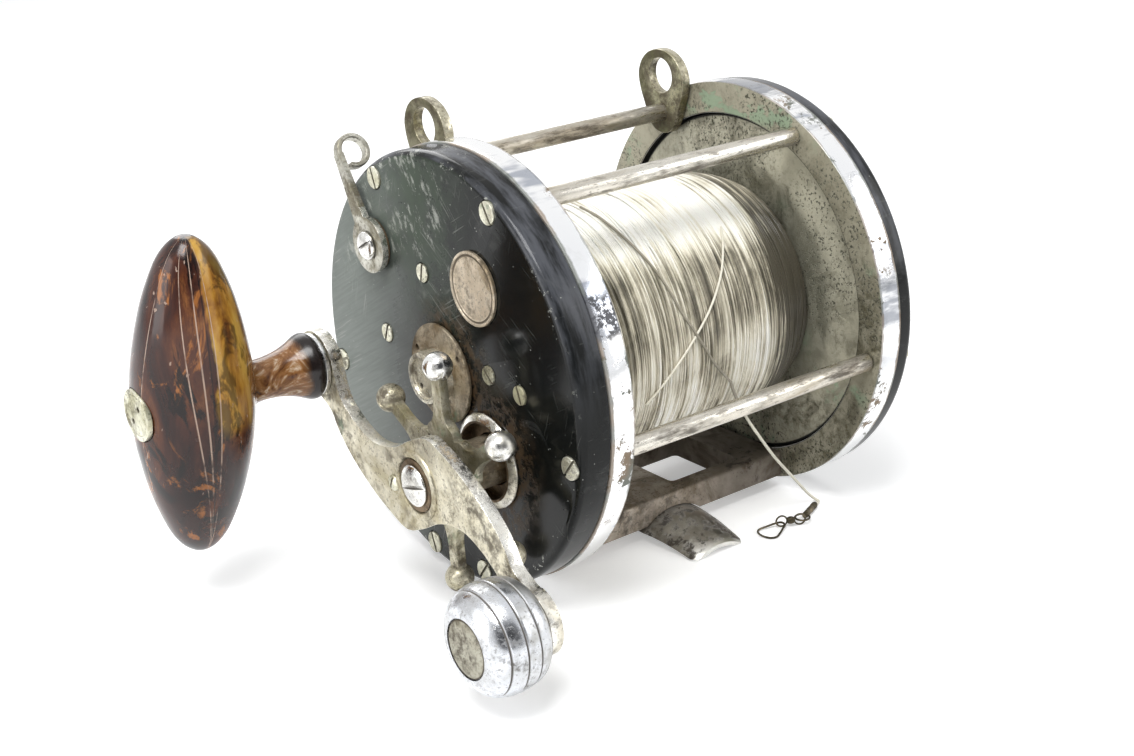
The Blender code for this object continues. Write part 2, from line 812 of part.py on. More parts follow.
# Spool, shaft and line
def make_spool():
    """The spool: two dished flanges on an arbor, with a short hub on the tail side."""
    head_inner = spool_flange_offset
    head_outer = head_inner + spool_flange_thickness
    tail_inner = -frame_width - spool_flange_offset
    tail_outer = tail_inner - spool_flange_thickness
    bore = shaft_radius + seat_gap
    dish_foot = spool_dish_radius - spool_dish_slope
    profile = (
        (spool_flange_radius, head_outer), (spool_flange_radius, head_inner),
        (spool_dish_radius, head_inner), (dish_foot, head_inner - spool_dish_depth),
        (spool_arbor_radius, head_inner - spool_dish_depth),
        (spool_arbor_radius, tail_inner + spool_dish_depth),
        (dish_foot, tail_inner + spool_dish_depth), (spool_dish_radius, tail_inner),
        (spool_flange_radius, tail_inner), (spool_flange_radius, tail_outer),
        (spool_hub_radius, tail_outer), (spool_hub_radius, tail_outer - spool_hub_length),
        (bore, tail_outer - spool_hub_length), (bore, head_outer),
    )
    return turned("spool", profile, nickel, steps=rim_steps - 2 * facet_step, ring=True)


def make_shaft():
    """The spool's shaft, with the clutch tang that the pinion drives."""
    top = head_face + cap_boss_height - cap_recess_depth - plate_wall
    bottom = tail_face - tail_cap_height / 2
    nose = shaft_radius / 4
    profile = ((0, top), (shaft_radius - nose, top), (shaft_radius, top - nose),
               (shaft_radius, bottom + nose), (shaft_radius - nose, bottom), (0, bottom))
    shaft = turned("spool_shaft", profile, steel, steps=16)
    half = clutch_width / 2
    join(shaft, box("clutch_tang", (-clutch_half_length, -half, clutch_bottom),
                    (clutch_half_length, half, clutch_top)))
    return shaft


pack_start = -(spool_dish_depth - spool_flange_offset) - seat_gap
pack_end = -frame_width - spool_flange_offset + spool_dish_depth + seat_gap


def pack_radius_at(share):
    """The wound line's outer radius, at a share of the way from the head flange to the tail one."""
    spans = list(zip(pack_width_shares, pack_radius_shares))
    for (a, low), (b, high) in zip(spans, spans[1:]):
        if share <= b:
            return pack_radius * (low + (high - low) * (share - a) / (b - a))
    return pack_radius * pack_radius_shares[-1]


def make_line_core():
    """The bulk of the wound line, under its outer winding."""
    width = pack_end - pack_start
    outside = [(pack_radius * r, pack_start + width * s)
               for s, r in zip(pack_width_shares, pack_radius_shares)]
    inner = spool_arbor_radius + seat_gap
    return turned("line_core", outside + [(inner, pack_end), (inner, pack_start)], line_nylon,
                  steps=points_per_loop, ring=True)


def make_wound_line():
    """The outer winding: one unbroken line in a helix on the core."""
    width = pack_end - pack_start
    sag = 1 / math.cos(math.pi / points_per_loop)
    count = wound_loops * points_per_loop
    points = []
    for i in range(count + 1):
        share = wound_start_share + (wound_end_share - wound_start_share) * i / count
        radius = (pack_radius_at(share) + line_diameter / 2 + line_gap) * sag
        angle = full_turn * i / points_per_loop
        points.append(Vector((*on_circle(radius, angle), pack_start + width * share)))
    for end, second in ((0, 1), (-1, -2)):
        run = (points[end] - points[second]).normalized()
        extra = points[end] + run * line_diameter
        if end == 0:
            points.insert(0, extra)
        else:
            points.append(extra)
    nearest = min((points[i] - points[i + turn]).length
                  for turn in range(points_per_loop - 1, points_per_loop + facet_step)
                  for i in range(len(points) - turn))
    print(f"wound_line: least gap to itself {1000 * (nearest - line_diameter):.2f} mm")
    return wire("wound_line", points, line_diameter / 2, line_nylon, resolution=1)


# Spool cap, bushings and tail cap
def make_spool_cap():
    top = head_face + seat_gap + cap_boss_height
    flange = head_face + seat_gap
    round_edge = cap_flange_thickness / 3
    bore = shaft_radius + run_gap
    bore_end = top - cap_recess_depth - cap_flange_thickness
    profile = (
        (0, top - cap_recess_depth), (cap_recess_radius, top - cap_recess_depth),
        (cap_recess_radius, top), (cap_boss_radius - round_edge, top),
        (cap_boss_radius, top - round_edge), (cap_boss_radius, flange + cap_flange_thickness),
        (cap_flange_radius - round_edge, flange + cap_flange_thickness),
        (cap_flange_radius, flange + cap_flange_thickness - round_edge),
        (cap_flange_radius, flange), (cap_spigot_radius, flange), (cap_spigot_radius, cap_bottom),
        (bushing_radius + seat_gap, cap_bottom),
        (bushing_radius + seat_gap, cap_bottom + bushing_length + seat_gap),
        (bore, cap_bottom + bushing_length + seat_gap), (bore, bore_end), (0, bore_end),
    )
    turned("spool_cap", profile, nickel, steps=20)


def make_bushings():
    washer("head_bushing", shaft_radius + run_gap, bushing_radius, cap_bottom,
           cap_bottom + bushing_length, brass, steps=16)
    tail_bottom = tail_face - seat_gap + plate_wall
    washer("tail_bushing", shaft_radius + run_gap, bushing_radius, tail_bottom - bushing_length,
           tail_bottom, brass, steps=16)


def make_tail_cap():
    """The cap that closes the tail plate and holds the tail bushing."""
    flange = tail_face - seat_gap
    end = flange - tail_cap_height
    round_edge = tail_cap_flange / 3
    spigot_end = flange + plate_wall
    bore = shaft_radius + run_gap
    pocket = spigot_end - bushing_length - seat_gap
    floor = tail_face - tail_cap_height / 2 - seat_gap
    profile = (
        (0, floor), (bore, floor), (bore, pocket), (bushing_radius + seat_gap, pocket),
        (bushing_radius + seat_gap, spigot_end), (cap_spigot_radius, spigot_end),
        (cap_spigot_radius, flange), (tail_cap_radius, flange),
        (tail_cap_radius, flange - tail_cap_flange + round_edge),
        (tail_cap_radius - round_edge, flange - tail_cap_flange),
        (tail_cap_boss_radius, flange - tail_cap_flange), (tail_cap_boss_radius, end + round_edge),
        (tail_cap_boss_radius - round_edge, end), (0, end),
    )
    turned("tail_cap", profile, nickel, steps=16)


def make_medallion():
    """A plain round medallion with a raised rim."""
    low = head_face + seat_gap
    top = low + medallion_thickness
    rim = medallion_rim
    profile = ((0, top - rim / 2), (medallion_radius - 2 * rim, top - rim / 2),
               (medallion_radius - rim, top), (medallion_radius, top - rim / 2),
               (medallion_radius, low), (0, low))
    turned("medallion", profile, nickel, (medallion_u, medallion_v, 0), steps=32)


# Gears
def gear_outline(teeth, module, backlash):
    """The outline of a spur gear, with flanks that stand for involutes at twenty degrees."""
    pitch = teeth * module / 2
    base = pitch * math.cos(math.radians(20))
    tip = pitch + module
    root = pitch - (1 + tooth_clearance) * module

    def flank(radius):
        """How far the flank has turned at a radius, measured from the base circle."""
        angle = math.acos(min(1, base / radius))
        return math.tan(angle) - angle

    half_pitch = (math.pi / 2 - backlash / module) / teeth
    top = half_pitch + flank(pitch) - flank(tip)
    foot = half_pitch + flank(pitch) - flank(max(base, root))
    outline = []
    for tooth in range(teeth):
        middle = full_turn * tooth / teeth
        outline += [on_circle(root, middle - foot), on_circle(tip, middle - top),
                    on_circle(tip, middle + top), on_circle(root, middle + foot)]
    return outline


pair_angle = math.atan2(-crank_v, -crank_u)


def make_main_gear():
    """The main gear: one of its gaps faces the pinion."""
    outline = gear_outline(gear_teeth, gear_module, gear_backlash)
    bore = circle(sleeve_radius + run_gap, 16)
    turn = pair_angle + math.pi / gear_teeth
    return flat_piece("main_gear", (outline, bore), gear_bottom, gear_top, brass,
                      (crank_u, crank_v, 0), (0, 0, turn))


def make_pinion():
    """The pinion: a tooth faces the main gear, with a yoke groove above and a clutch slot below."""
    outline = gear_outline(pinion_teeth, gear_module, gear_backlash)
    turn = pair_angle + math.pi
    pinion = flat_piece("pinion", (outline,), pinion_tooth_bottom, pinion_groove_bottom, brass,
                        turn=(0, 0, turn))
    bite = seat_gap
    hub = disc("pinion_hub", pinion_hub_radius, pinion_bottom, pinion_tooth_bottom + bite, None,
               turn=(0, 0, turn), steps=16, group=cutters)
    neck = turned("pinion_neck", ((0, pinion_top), (pinion_flange_radius, pinion_top),
                                  (pinion_flange_radius, pinion_groove_top),
                                  (pinion_groove_radius, pinion_groove_top),
                                  (pinion_groove_radius, pinion_groove_bottom - bite),
                                  (0, pinion_groove_bottom - bite)), None,
                  turn=(0, 0, turn), steps=16, group=cutters)
    join(pinion, hub, neck)
    half = clutch_width / 2 + run_gap
    reach = pinion_hub_radius + overrun
    cut(pinion,
        disc("pinion_bore", shaft_radius + run_gap, pinion_bottom - overrun, pinion_top + overrun,
             None, steps=16, group=cutters),
        box("clutch_slot", (-reach, -half, pinion_bottom - overrun),
            (reach, half, clutch_top + run_gap)))
    return pinion


# Bridge, stud, sleeve and ratchet
def make_bridge():
    """The bridge plate with its posts and the screws that hold them."""
    rim = circle(bridge_radius, 32)
    window = circle(bridge_window_radius, 16)
    stud_hole = circle(stud_radius + seat_gap, 12, (crank_u, crank_v))
    bridge = flat_piece("bridge_plate", (rim, window, stud_hole), bridge_bottom, bridge_top, brass)
    crown = head_face + screw_proud
    floor = bridge_bottom + seat_gap
    post = ((0, crown), (bridge_post_radius - screw_bevel, crown),
            (bridge_post_radius, crown - screw_bevel), (bridge_post_radius, floor), (0, floor))
    for index, (u, v) in enumerate(bridge_screws.values()):
        join(bridge, turned(f"bridge_post_{index}", post, None, (u, v, 0), steps=head_steps,
                            group=cutters))
        cut(bridge, slot_cutter(f"bridge_slot_{index}", (u, v), bridge_slot_angle * (index + 2),
                                bridge_post_radius))
    return bridge


def make_stud():
    """The fixed stud on which the gear sleeve turns, riveted through the bridge."""
    foot_bottom = spool_flange_offset + spool_flange_thickness + seat_gap
    foot_top_level = bridge_bottom - seat_gap
    top = crank_back - crank_thickness
    nose = stud_radius / 3
    profile = ((0, top), (stud_radius - nose, top), (stud_radius, top - nose),
               (stud_radius, foot_top_level), (stud_foot_radius, foot_top_level),
               (stud_foot_radius, foot_bottom), (0, foot_bottom))
    turned("gear_stud", profile, steel, (crank_u, crank_v, 0), steps=12)


def make_sleeve():
    """The gear sleeve: it carries the ratchet, the drag, the star wheel and the crank."""
    top = crank_front - crank_recess_depth
    bore = sleeve_radius - sleeve_wall
    thread_bore = crank_screw_shank_radius + run_gap
    plug = crank_back - crank_thickness / 2
    profile = ((sleeve_radius, top), (sleeve_radius, sleeve_bottom), (bore, sleeve_bottom),
               (bore, plug), (thread_bore, plug), (thread_bore, top))
    turned("gear_sleeve", profile, steel, (crank_u, crank_v, 0), steps=16, ring=True)


def make_ratchet():
    """The ratchet wheel under the main gear: its steep faces stop the crank from backing up."""
    outline = []
    pitch = full_turn / ratchet_teeth
    for tooth in range(ratchet_teeth):
        angle = dog_tip_angle - pitch * tooth
        outline += [on_circle(ratchet_root_radius, angle), on_circle(ratchet_radius, angle),
                    on_circle(ratchet_radius, angle - pitch * ratchet_crest_share),
                    on_circle((ratchet_radius + ratchet_root_radius) / 2,
                              angle - pitch * ratchet_back_share)]
    bore = circle(sleeve_radius + seat_gap, 16)
    flat_piece("ratchet", (outline, bore), sleeve_bottom, sleeve_bottom + ratchet_thickness, steel,
               (crank_u, crank_v, 0))


def make_drag_stack():
    """Fibre and steel washers, the pressure plate and the spacer sleeve up to the star wheel."""
    place = (crank_u, crank_v, 0)
    bore = sleeve_radius + run_gap
    level = gear_top + seat_gap
    for name, thickness, look in (("drag_washer_fibre", drag_fibre_thickness, fibre),
                                  ("drag_washer_steel", drag_steel_thickness, steel)):
        washer(name, bore, drag_outer_radius, level, level + thickness, look, place)
        level += thickness + seat_gap
    washer("drag_pressure_plate", bore, drag_outer_radius, level, level + drag_plate_thickness,
           steel, place)
    washer("spacer_sleeve", bore, spacer_radius, level + drag_plate_thickness + seat_gap,
           star_hub_bottom - seat_gap, steel, place, 16)


def make_dog():
    """The dog: it hangs from its post and rests just clear of the ratchet's crests."""
    pivot = Vector(bridge_screws["dog_pivot"])
    tip_circle = ratchet_radius + run_gap
    tip = Vector((crank_u, crank_v)) + Vector(on_circle(tip_circle, dog_tip_angle))
    reach = tip - pivot
    along = reach.normalized()
    across = Vector((-along.y, along.x))
    back = math.atan2(-along.y, -along.x)
    eye = arc((0, 0), dog_eye_radius, back - dog_eye_sweep, back + dog_eye_sweep, 11)
    shoulder = reach * dog_shoulder_share
    inner = shoulder - across * dog_tip_width / 4
    outer = shoulder + across * dog_tip_width
    nose = reach + across * dog_tip_width
    outline = eye + [tuple(inner), tuple(reach), tuple(nose), tuple(outer)]
    hole = circle(bridge_post_radius + run_gap, 16)
    low = bridge_top + seat_gap
    flat_piece("dog", (outline, hole), low, low + dog_thickness, steel, (*pivot, 0))


# Yoke, springs, lever and cam
def hull(points):
    """The convex outline round a set of points."""
    ordered = sorted(points)
    outline = []
    for run in (ordered, ordered[::-1]):
        half = []
        for point in run:
            while len(half) > 1 and turn_sense(half[-2], half[-1], point) <= 0:
                half.pop()
            half.append(point)
        outline += half[:-1]
    return outline


def turn_sense(a, b, c):
    """Positive where the way from a through b to c turns left."""
    return (b[0] - a[0]) * (c[1] - a[1]) - (b[1] - a[1]) * (c[0] - a[0])


def make_yoke():
    """The yoke on its two posts: its fork rides in the pinion's groove, its tongue on the cam."""
    high = bridge_screws["yoke_high"]
    low = bridge_screws["yoke_low"]
    tongue_side = math.atan2(yoke_tongue_width / 2, yoke_reach)
    tongue = [on_circle(yoke_reach, lever_way - tongue_side), on_circle(yoke_reach, lever_way + tongue_side)]
    rim = hull(circle(yoke_fork_radius, 16) + circle(yoke_boss_radius, 12, high)
               + circle(yoke_boss_radius, 12, low) + tongue)
    holes = [circle(bridge_post_radius + run_gap, 12, place) for place in (high, low)]
    top = yoke_level + yoke_thickness
    yoke = flat_piece("pinion_yoke", (rim, *holes), yoke_level, top, steel)
    cut(yoke,
        disc("yoke_fork", yoke_slot_radius, yoke_level - overrun, top + overrun, None, steps=16,
             group=cutters),
        box("yoke_mouth", (-yoke_fork_radius - overrun, -yoke_slot_radius, yoke_level - overrun),
            (0, yoke_slot_radius, top + overrun), turn=(0, 0, lever_way)))
    return yoke


def make_yoke_springs():
    """A split spring ring on each of the yoke's posts."""
    low = yoke_level + yoke_thickness + seat_gap + spring_wire_radius
    for name in ("yoke_high", "yoke_low"):
        u, v = bridge_screws[name]
        ring = arc((u, v), spring_radius, 0, full_turn * spring_share, spring_points)
        points = [(x, y, low + spring_rise * i / spring_points) for i, (x, y) in enumerate(ring)]
        wire(name + "_spring", points, spring_wire_radius, steel, resolution=0)


def make_lever():
    """The free spool lever: an eye and a tapering bar that ends in a curled finger loop."""
    top = lever_level + lever_thickness
    neck = math.asin(lever_neck_width / 2 / lever_eye_radius)
    rim = arc((0, 0), lever_eye_radius, neck, full_turn - neck, 18)
    middle = lever_length * lever_waist_share
    waist = (lever_neck_width + lever_tip_width) / 4
    tip = lever_tip_width / 2
    rim += [(middle, -waist), (lever_length, -tip), (lever_length, tip), (middle, waist)]
    hole = circle(lever_shaft_radius + seat_gap, 12)
    lever = flat_piece("free_spool_lever", (rim, hole), lever_level, top, nickel,
                       (lever_u, lever_v, 0), (0, 0, lever_angle))
    mid_level = lever_level + lever_thickness / 2
    centre = (lever_length, mid_level - lever_curl_radius)
    bend = arc((0, 0), 1, math.pi / 2, math.pi / 2 - lever_curl_sweep, lever_curl_points)
    sections = [((-lever_tip_width, lever_curl_radius), (0, 1))]
    sections += [((x * lever_curl_radius, y * lever_curl_radius), (x, y)) for x, y in bend]
    strip = bmesh.new()
    rows = []
    for (x, z), (nx, nz) in sections:
        half = lever_curl_thickness / 2
        side = lever_curl_width / 2
        rows.append([strip.verts.new((centre[0] + x + s * half * nx, t * side,
                                      centre[1] + z + s * half * nz))
                     for s, t in ((1, -1), (1, 1), (-1, 1), (-1, -1))])
    for first, second in zip(rows, rows[1:]):
        for i in range(4):
            strip.faces.new((first[i], first[i - 1], second[i - 1], second[i]))
    strip.faces.new(rows[0])
    strip.faces.new(rows[-1][::-1])
    bmesh.ops.recalc_face_normals(strip, faces=strip.faces)
    join(lever, from_bmesh("finger_loop", strip, None, (lever_u, lever_v, 0), (0, 0, lever_angle),
                           cutters))
    return lever


def dome_screw(name, radius, seat, dome, shank, end, at, slot_angle, steps=16):
    """A domed screw: its head sits at the seat level and its shank runs down to its end."""
    profile = [(0, seat + dome)]
    profile += [(radius * x, seat + dome * y) for x, y in dome_shares]
    profile += [(radius, seat), (shank, seat), (shank, end), (0, end)]
    screw = turned(name, profile, nickel, at, steps=steps)
    half = screw_slot_width / 2
    cut(screw, box(name + "_slot", (-radius - overrun, -half, seat + dome * dome_slot_share),
                   (radius + overrun, half, seat + dome + overrun), at, (0, 0, slot_angle)))
    return screw


def make_lever_mount():
    """The lever's washer, its screw, and the shaft with the cam that lifts the yoke."""
    place = (lever_u, lever_v, 0)
    low = head_face + seat_gap
    washer("lever_washer", lever_shaft_radius + run_gap, lever_washer_radius, low,
           low + lever_washer_thickness, nickel, place)
    top = lever_level + lever_thickness
    shaft_top = top - seat_gap
    bore = lever_screw_shank_radius + seat_gap
    bottom = cam_top - cam_thickness
    bore_floor = shaft_top - lever_screw_depth
    cam = turned("lever_cam", ((0, bore_floor), (bore, bore_floor), (bore, shaft_top),
                               (lever_shaft_radius, shaft_top), (lever_shaft_radius, bottom),
                               (0, bottom)), steel, place, steps=12)
    cam_u, cam_v = on_circle(-cam_offset, lever_way)
    join(cam, disc("cam_disc", cam_radius, bottom, cam_top, None,
                   (lever_u + cam_u, lever_v + cam_v, 0), steps=16, group=cutters))
    dome_screw("lever_screw", lever_screw_radius, top + seat_gap, lever_screw_dome,
               lever_screw_shank_radius, bore_floor + seat_gap, place, lever_slot_angle)


def make_dog_spring():
    """The dog's spring: a leg on the rest post, a turn round the pivot post, a leg on the dog."""
    pivot = Vector(bridge_screws["dog_pivot"])
    rest = Vector(bridge_screws["dog_rest"])
    level = bridge_top + seat_gap + dog_thickness + seat_gap + dog_spring_wire
    back = math.atan2(rest.y - pivot.y, rest.x - pivot.x)
    coil = arc(tuple(pivot), dog_spring_radius, back - math.pi / 2, back - math.pi / 2 - dog_spring_sweep,
               dog_spring_points)
    points = [(x, y, level + dog_spring_rise * (1 - i / dog_spring_points))
              for i, (x, y) in enumerate(coil)]
    first = Vector(coil[0])
    start = first + Vector((math.cos(back), math.sin(back))) * dog_spring_leg
    points.insert(0, (start.x, start.y, points[0][2]))
    last, before = Vector(coil[-1]), Vector(coil[-2])
    end = last + (last - before).normalized() * dog_spring_tip
    points.append((end.x, end.y, points[-1][2]))
    wire("dog_spring", points, dog_spring_wire, steel, resolution=0)


# Crank bushing, star wheel and crank
def make_collar():
    """The bushing round the crank's shaft, with an inner lip that guides the spacer sleeve."""
    flange = head_face + seat_gap
    top = flange + collar_height
    spigot = head_face - collar_spigot_depth
    outer = crank_hole_radius - seat_gap
    lip = spacer_radius + run_gap
    lip_top = spigot + collar_flange_thickness
    slope = collar_flange_thickness / 2
    profile = ((collar_bore_radius + slope, top), (collar_radius - slope, flange + collar_flange_thickness),
               (collar_radius, flange + slope), (collar_radius, flange), (outer, flange),
               (outer, spigot), (lip, spigot), (lip, lip_top), (collar_bore_radius, lip_top),
               (collar_bore_radius, top))
    turned("crank_bushing", profile, nickel, (crank_u, crank_v, 0), steps=20, ring=True)


def make_star():
    """The star drag wheel: a hub, a filleted web and six arms that end in balls."""
    outline = []
    for index in range(star_arms):
        middle = star_phase + full_turn * index / star_arms
        along = Vector(on_circle(1, middle))
        across = Vector((-along.y, along.x))
        right = [along * (star_reach * r) - across * (star_arm_radius * h)
                 for r, h in zip(star_reach_shares, star_half_shares)]
        left = [along * (star_reach * r) + across * (star_arm_radius * h)
                for r, h in zip(star_reach_shares, star_half_shares)][::-1]
        outline += [tuple(point) for point in right + left]
        outline.append(on_circle(star_web_radius, middle + math.pi / star_arms))
    place = (crank_u, crank_v, 0)
    star = flat_piece("star_wheel", (outline,), star_bottom, star_bottom + star_thickness, nickel,
                      place)
    low, high = star_hub_bottom, star_hub_top
    span = high - low
    profile = [(star_hub_radius * r, low + span * h)
               for r, h in zip(star_hub_radius_shares, star_hub_height_shares)]
    join(star, turned("star_hub", [(0, high)] + profile + [(0, low)], None, place, steps=16,
                      group=cutters))
    for index in range(star_arms):
        u, v = on_circle(star_reach, star_phase + full_turn * index / star_arms)
        ball = bmesh.new()
        bmesh.ops.create_uvsphere(ball, u_segments=8, v_segments=6, radius=star_ball_radius)
        join(star, from_bmesh(f"star_ball_{index}", ball, None, (crank_u + u, crank_v + v, star_level),
                              group=cutters))
    cut(star, disc("star_bore", sleeve_radius + run_gap, low - overrun, high + overrun, None, place,
                   steps=16, group=cutters))
    return star


def make_crank():
    """The crank arm: an S shape with a boss at each end."""
    outer = [(crank_reach * x, crank_reach * y)
             for x, y in zip(crank_outer_reach_shares, crank_outer_offset_shares)]
    boss = arc((crank_reach, 0), crank_boss_radius, crank_boss_start, crank_boss_end, 13)
    inner = [(crank_reach * x, crank_reach * y)
             for x, y in zip(crank_inner_reach_shares, crank_inner_offset_shares)]
    half = outer + boss + inner
    rim = half + [(-x, -y) for x, y in half]
    crank = flat_piece("crank_arm", (rim,), crank_back, crank_front, nickel, (crank_u, crank_v, 0),
                       (0, 0, crank_tilt))
    u, v = on_circle(crank_reach, crank_tilt)
    top = crank_front + crank_boss_height
    join(crank, drills("counter_boss", [(crank_u + u, crank_v + v)], crank_boss_radius - seat_gap,
                       crank_back + crank_thickness / 2, top, 22))
    recess = crank_front - crank_recess_depth
    cut(crank,
        drills("counter_hole", [(crank_u + u, crank_v + v)], counter_spigot_radius + seat_gap,
               crank_back - overrun, top + overrun, 12),
        drills("spindle_hole", [(grip_u, grip_v)], spindle_radius + seat_gap,
               crank_back - overrun, crank_front + overrun, 12),
        drills("hub_hole", [(crank_u, crank_v)], sleeve_radius + seat_gap, crank_back - overrun,
               crank_front + overrun, 16),
        drills("crank_recess", [(crank_u, crank_v)], crank_washer_radius + seat_gap, recess,
               crank_front + overrun, 20),
        drills("lock_screw_hole", [(crank_u + lock_screw_u, crank_v + lock_screw_v)],
               screw_shank_radius, crank_back + crank_thickness / 4, crank_front + overrun, 8))
    return crank


def make_crank_screws():
    """The washer and the screw that hold the crank, and the small lock screw beside them."""
    place = (crank_u, crank_v, 0)
    low = crank_front - crank_recess_depth + seat_gap
    washer("crank_washer", crank_screw_shank_radius + seat_gap, crank_washer_radius, low,
           low + crank_washer_thickness, nickel, place)
    dome_screw("crank_screw", crank_screw_radius, low + crank_washer_thickness + seat_gap,
               crank_screw_dome, crank_screw_shank_radius, crank_back, place, crank_slot_angle)
    dome_screw("crank_lock_screw", lock_screw_radius, crank_front + seat_gap, lock_screw_height,
               screw_shank_radius - seat_gap, crank_back + crank_thickness / 3,
               (crank_u + lock_screw_u, crank_v + lock_screw_v, 0), lock_slot_angle, 12)


def make_counterbalance():
    """The counterbalance: a ribbed drum on a spigot through the crank, and a cap in its front."""
    u, v = on_circle(crank_reach, crank_tilt)
    place = (crank_u + u, crank_v + v, 0)
    span = counter_front - counter_back
    profile = [(counter_radius * radius, counter_back + span * share)
               for share, radius in zip(counter_height_shares, counter_radius_shares)]
    for share in counter_groove_shares:
        level = counter_back + span * share
        upper = [p for p in profile if p[1] > level][-1]
        lower = [p for p in profile if p[1] < level][0]
        blend = (level - lower[1]) / (upper[1] - lower[1])
        radius = lower[0] + (upper[0] - lower[0]) * blend
        spot = profile.index(lower)
        half = counter_groove_width / 2
        profile[spot:spot] = [(radius, level + half), (radius - counter_groove_depth, level),
                              (radius, level - half)]
    floor = counter_front - counter_cap_thickness - seat_gap
    recess = [(0, floor), (counter_cap_radius + seat_gap, floor),
              (counter_cap_radius + seat_gap, counter_front)]
    spigot_end = crank_back - crank_thickness / 4
    stem = [(counter_spigot_radius, counter_back), (counter_spigot_radius, spigot_end), (0, spigot_end)]
    turned("counterbalance", recess + profile + stem, chrome, place, steps=20)
    disc("counterbalance_cap", counter_cap_radius, floor + seat_gap, counter_front, nickel, place)


# Grip
def make_grip():
    """The grip: a torpedo across the crank, on a flared neck, with a bore for its spindle."""
    half_length = grip_half_length
    upper = [(grip_radius * r, half_length * s) for s, r in zip(grip_length_shares, grip_radius_shares)]
    profile = [(0, half_length)] + upper + [(grip_radius, 0)]
    profile += [(r, -h) for r, h in upper[::-1]] + [(0, -half_length)]
    place = (grip_u, grip_v, 0)
    grip = turned("grip", profile, tortoiseshell, (grip_u, grip_v, grip_centre_level),
                  (-math.pi / 2, 0, -grip_tilt), steps=20)
    low = crank_front + grip_collar_thickness + 2 * seat_gap
    high = grip_centre_level - grip_radius + neck_overlap
    span = high - low
    neck = [(neck_end_radius * r, low + span * s)
            for s, r in zip(neck_length_shares, neck_radius_shares)][::-1]
    join(grip, turned("grip_neck", [(0, high)] + neck + [(0, low)], None, place, steps=16,
                      group=cutters))
    screw_floor = grip_face - grip_screw_thickness - seat_gap
    cut(grip,
        disc("grip_bore", spindle_radius + run_gap, low - overrun, grip_face + overrun, None, place,
             steps=12, group=cutters),
        disc("grip_recess", grip_screw_radius + run_gap, screw_floor, grip_face + overrun, None,
             place, steps=20, group=cutters))
    return grip


def make_grip_mount():
    """The grip's spindle, the collar under its neck and the screw at its face."""
    place = (grip_u, grip_v, 0)
    peen_top = crank_back - seat_gap
    screw_low = grip_face - grip_screw_thickness
    top = screw_low - seat_gap
    profile = ((0, top), (spindle_radius, top), (spindle_radius, peen_top),
               (spindle_head_radius, peen_top),
               (spindle_head_radius * spindle_nose_share, peen_top - spindle_head_height),
               (0, peen_top - spindle_head_height))
    turned("grip_spindle", profile, steel, place, steps=12)
    low = crank_front + seat_gap
    washer("grip_collar", spindle_radius + seat_gap, grip_collar_radius, low,
           low + grip_collar_thickness, chrome, place)
    edge = grip_screw_thickness / 4
    turned("grip_end_screw", ((0, grip_face), (grip_screw_radius - edge, grip_face),
                              (grip_screw_radius, grip_face - edge), (grip_screw_radius, screw_low),
                              (0, screw_low)), nickel, place, steps=24)


# Click on the tail side
def make_click():
    """The click: a toothed wheel on the spool, and a tongue and button that slide to meet it."""
    flange = -frame_width - spool_flange_offset - spool_flange_thickness
    high = flange - seat_gap
    low = high - click_gear_thickness
    rim = []
    for tooth in range(click_gear_teeth):
        middle = full_turn * tooth / click_gear_teeth
        step = math.pi / click_gear_teeth
        rim += [on_circle(click_gear_root_radius, middle - step), on_circle(click_gear_radius, middle - step / 4),
                on_circle(click_gear_radius, middle + step / 4)]
    flat_piece("click_gear", (rim, circle(spool_hub_radius + seat_gap, 16)), low, high, brass)
    turn = (0, 0, click_angle)
    tip = click_gear_radius + click_tip_gap + click_travel
    half = click_tongue_width / 2
    tongue = flat_piece("click_tongue", (((tip, 0), (tip + half, -half), (click_rest_radius + half, -half),
                                          (click_rest_radius + half, half), (tip + half, half)),),
                        low, high, steel, turn=turn)
    at = on_circle(click_rest_radius, click_angle)
    foot = tail_inner_face + seat_gap
    middle = (low + high) / 2
    stem_end = tail_face - click_button_height / 2
    profile = ((0, middle), (click_stem_radius, middle), (click_stem_radius, foot + click_tongue_thickness),
               (click_foot_radius, foot + click_tongue_thickness), (click_foot_radius, foot),
               (click_stem_radius, foot), (click_stem_radius, stem_end), (0, stem_end))
    join(tongue, turned("click_stem", profile, None, (*at, 0), turn, 10, group=cutters))
    outer = tail_face - seat_gap
    end = outer - click_button_height
    bore = click_stem_radius + seat_gap
    bore_end = stem_end - seat_gap
    nose = click_button_height / 4
    turned("click_button", ((0, bore_end), (bore, bore_end), (bore, outer), (click_button_radius, outer),
                            (click_button_radius, end + nose), (click_button_radius - nose, end),
                            (0, end)), nickel, (*at, 0), turn, 16)
    level = foot + click_spring_wire
    side = click_spring_half_width
    back = click_rest_radius + side
    inner = click_rest_radius - 2 * click_travel
    bend = arc((back, 0), side, -math.pi / 2, math.pi / 2, 7)
    flat = [(inner, -side)] + bend + [(inner, side)]
    spin = Matrix.Rotation(click_angle, 2)
    points = [(*(spin @ Vector(p)), level) for p in flat]
    wire("click_spring", points, click_spring_wire, steel, resolution=0)


# The line's end and its tackle
def ring_points(centre, radius, first, second, count=16):
    """A ring of points round a centre, in the plane of two directions."""
    return [centre + radius * (first * math.cos(a) + second * math.sin(a))
            for a in (full_turn * i / count for i in range(count))]


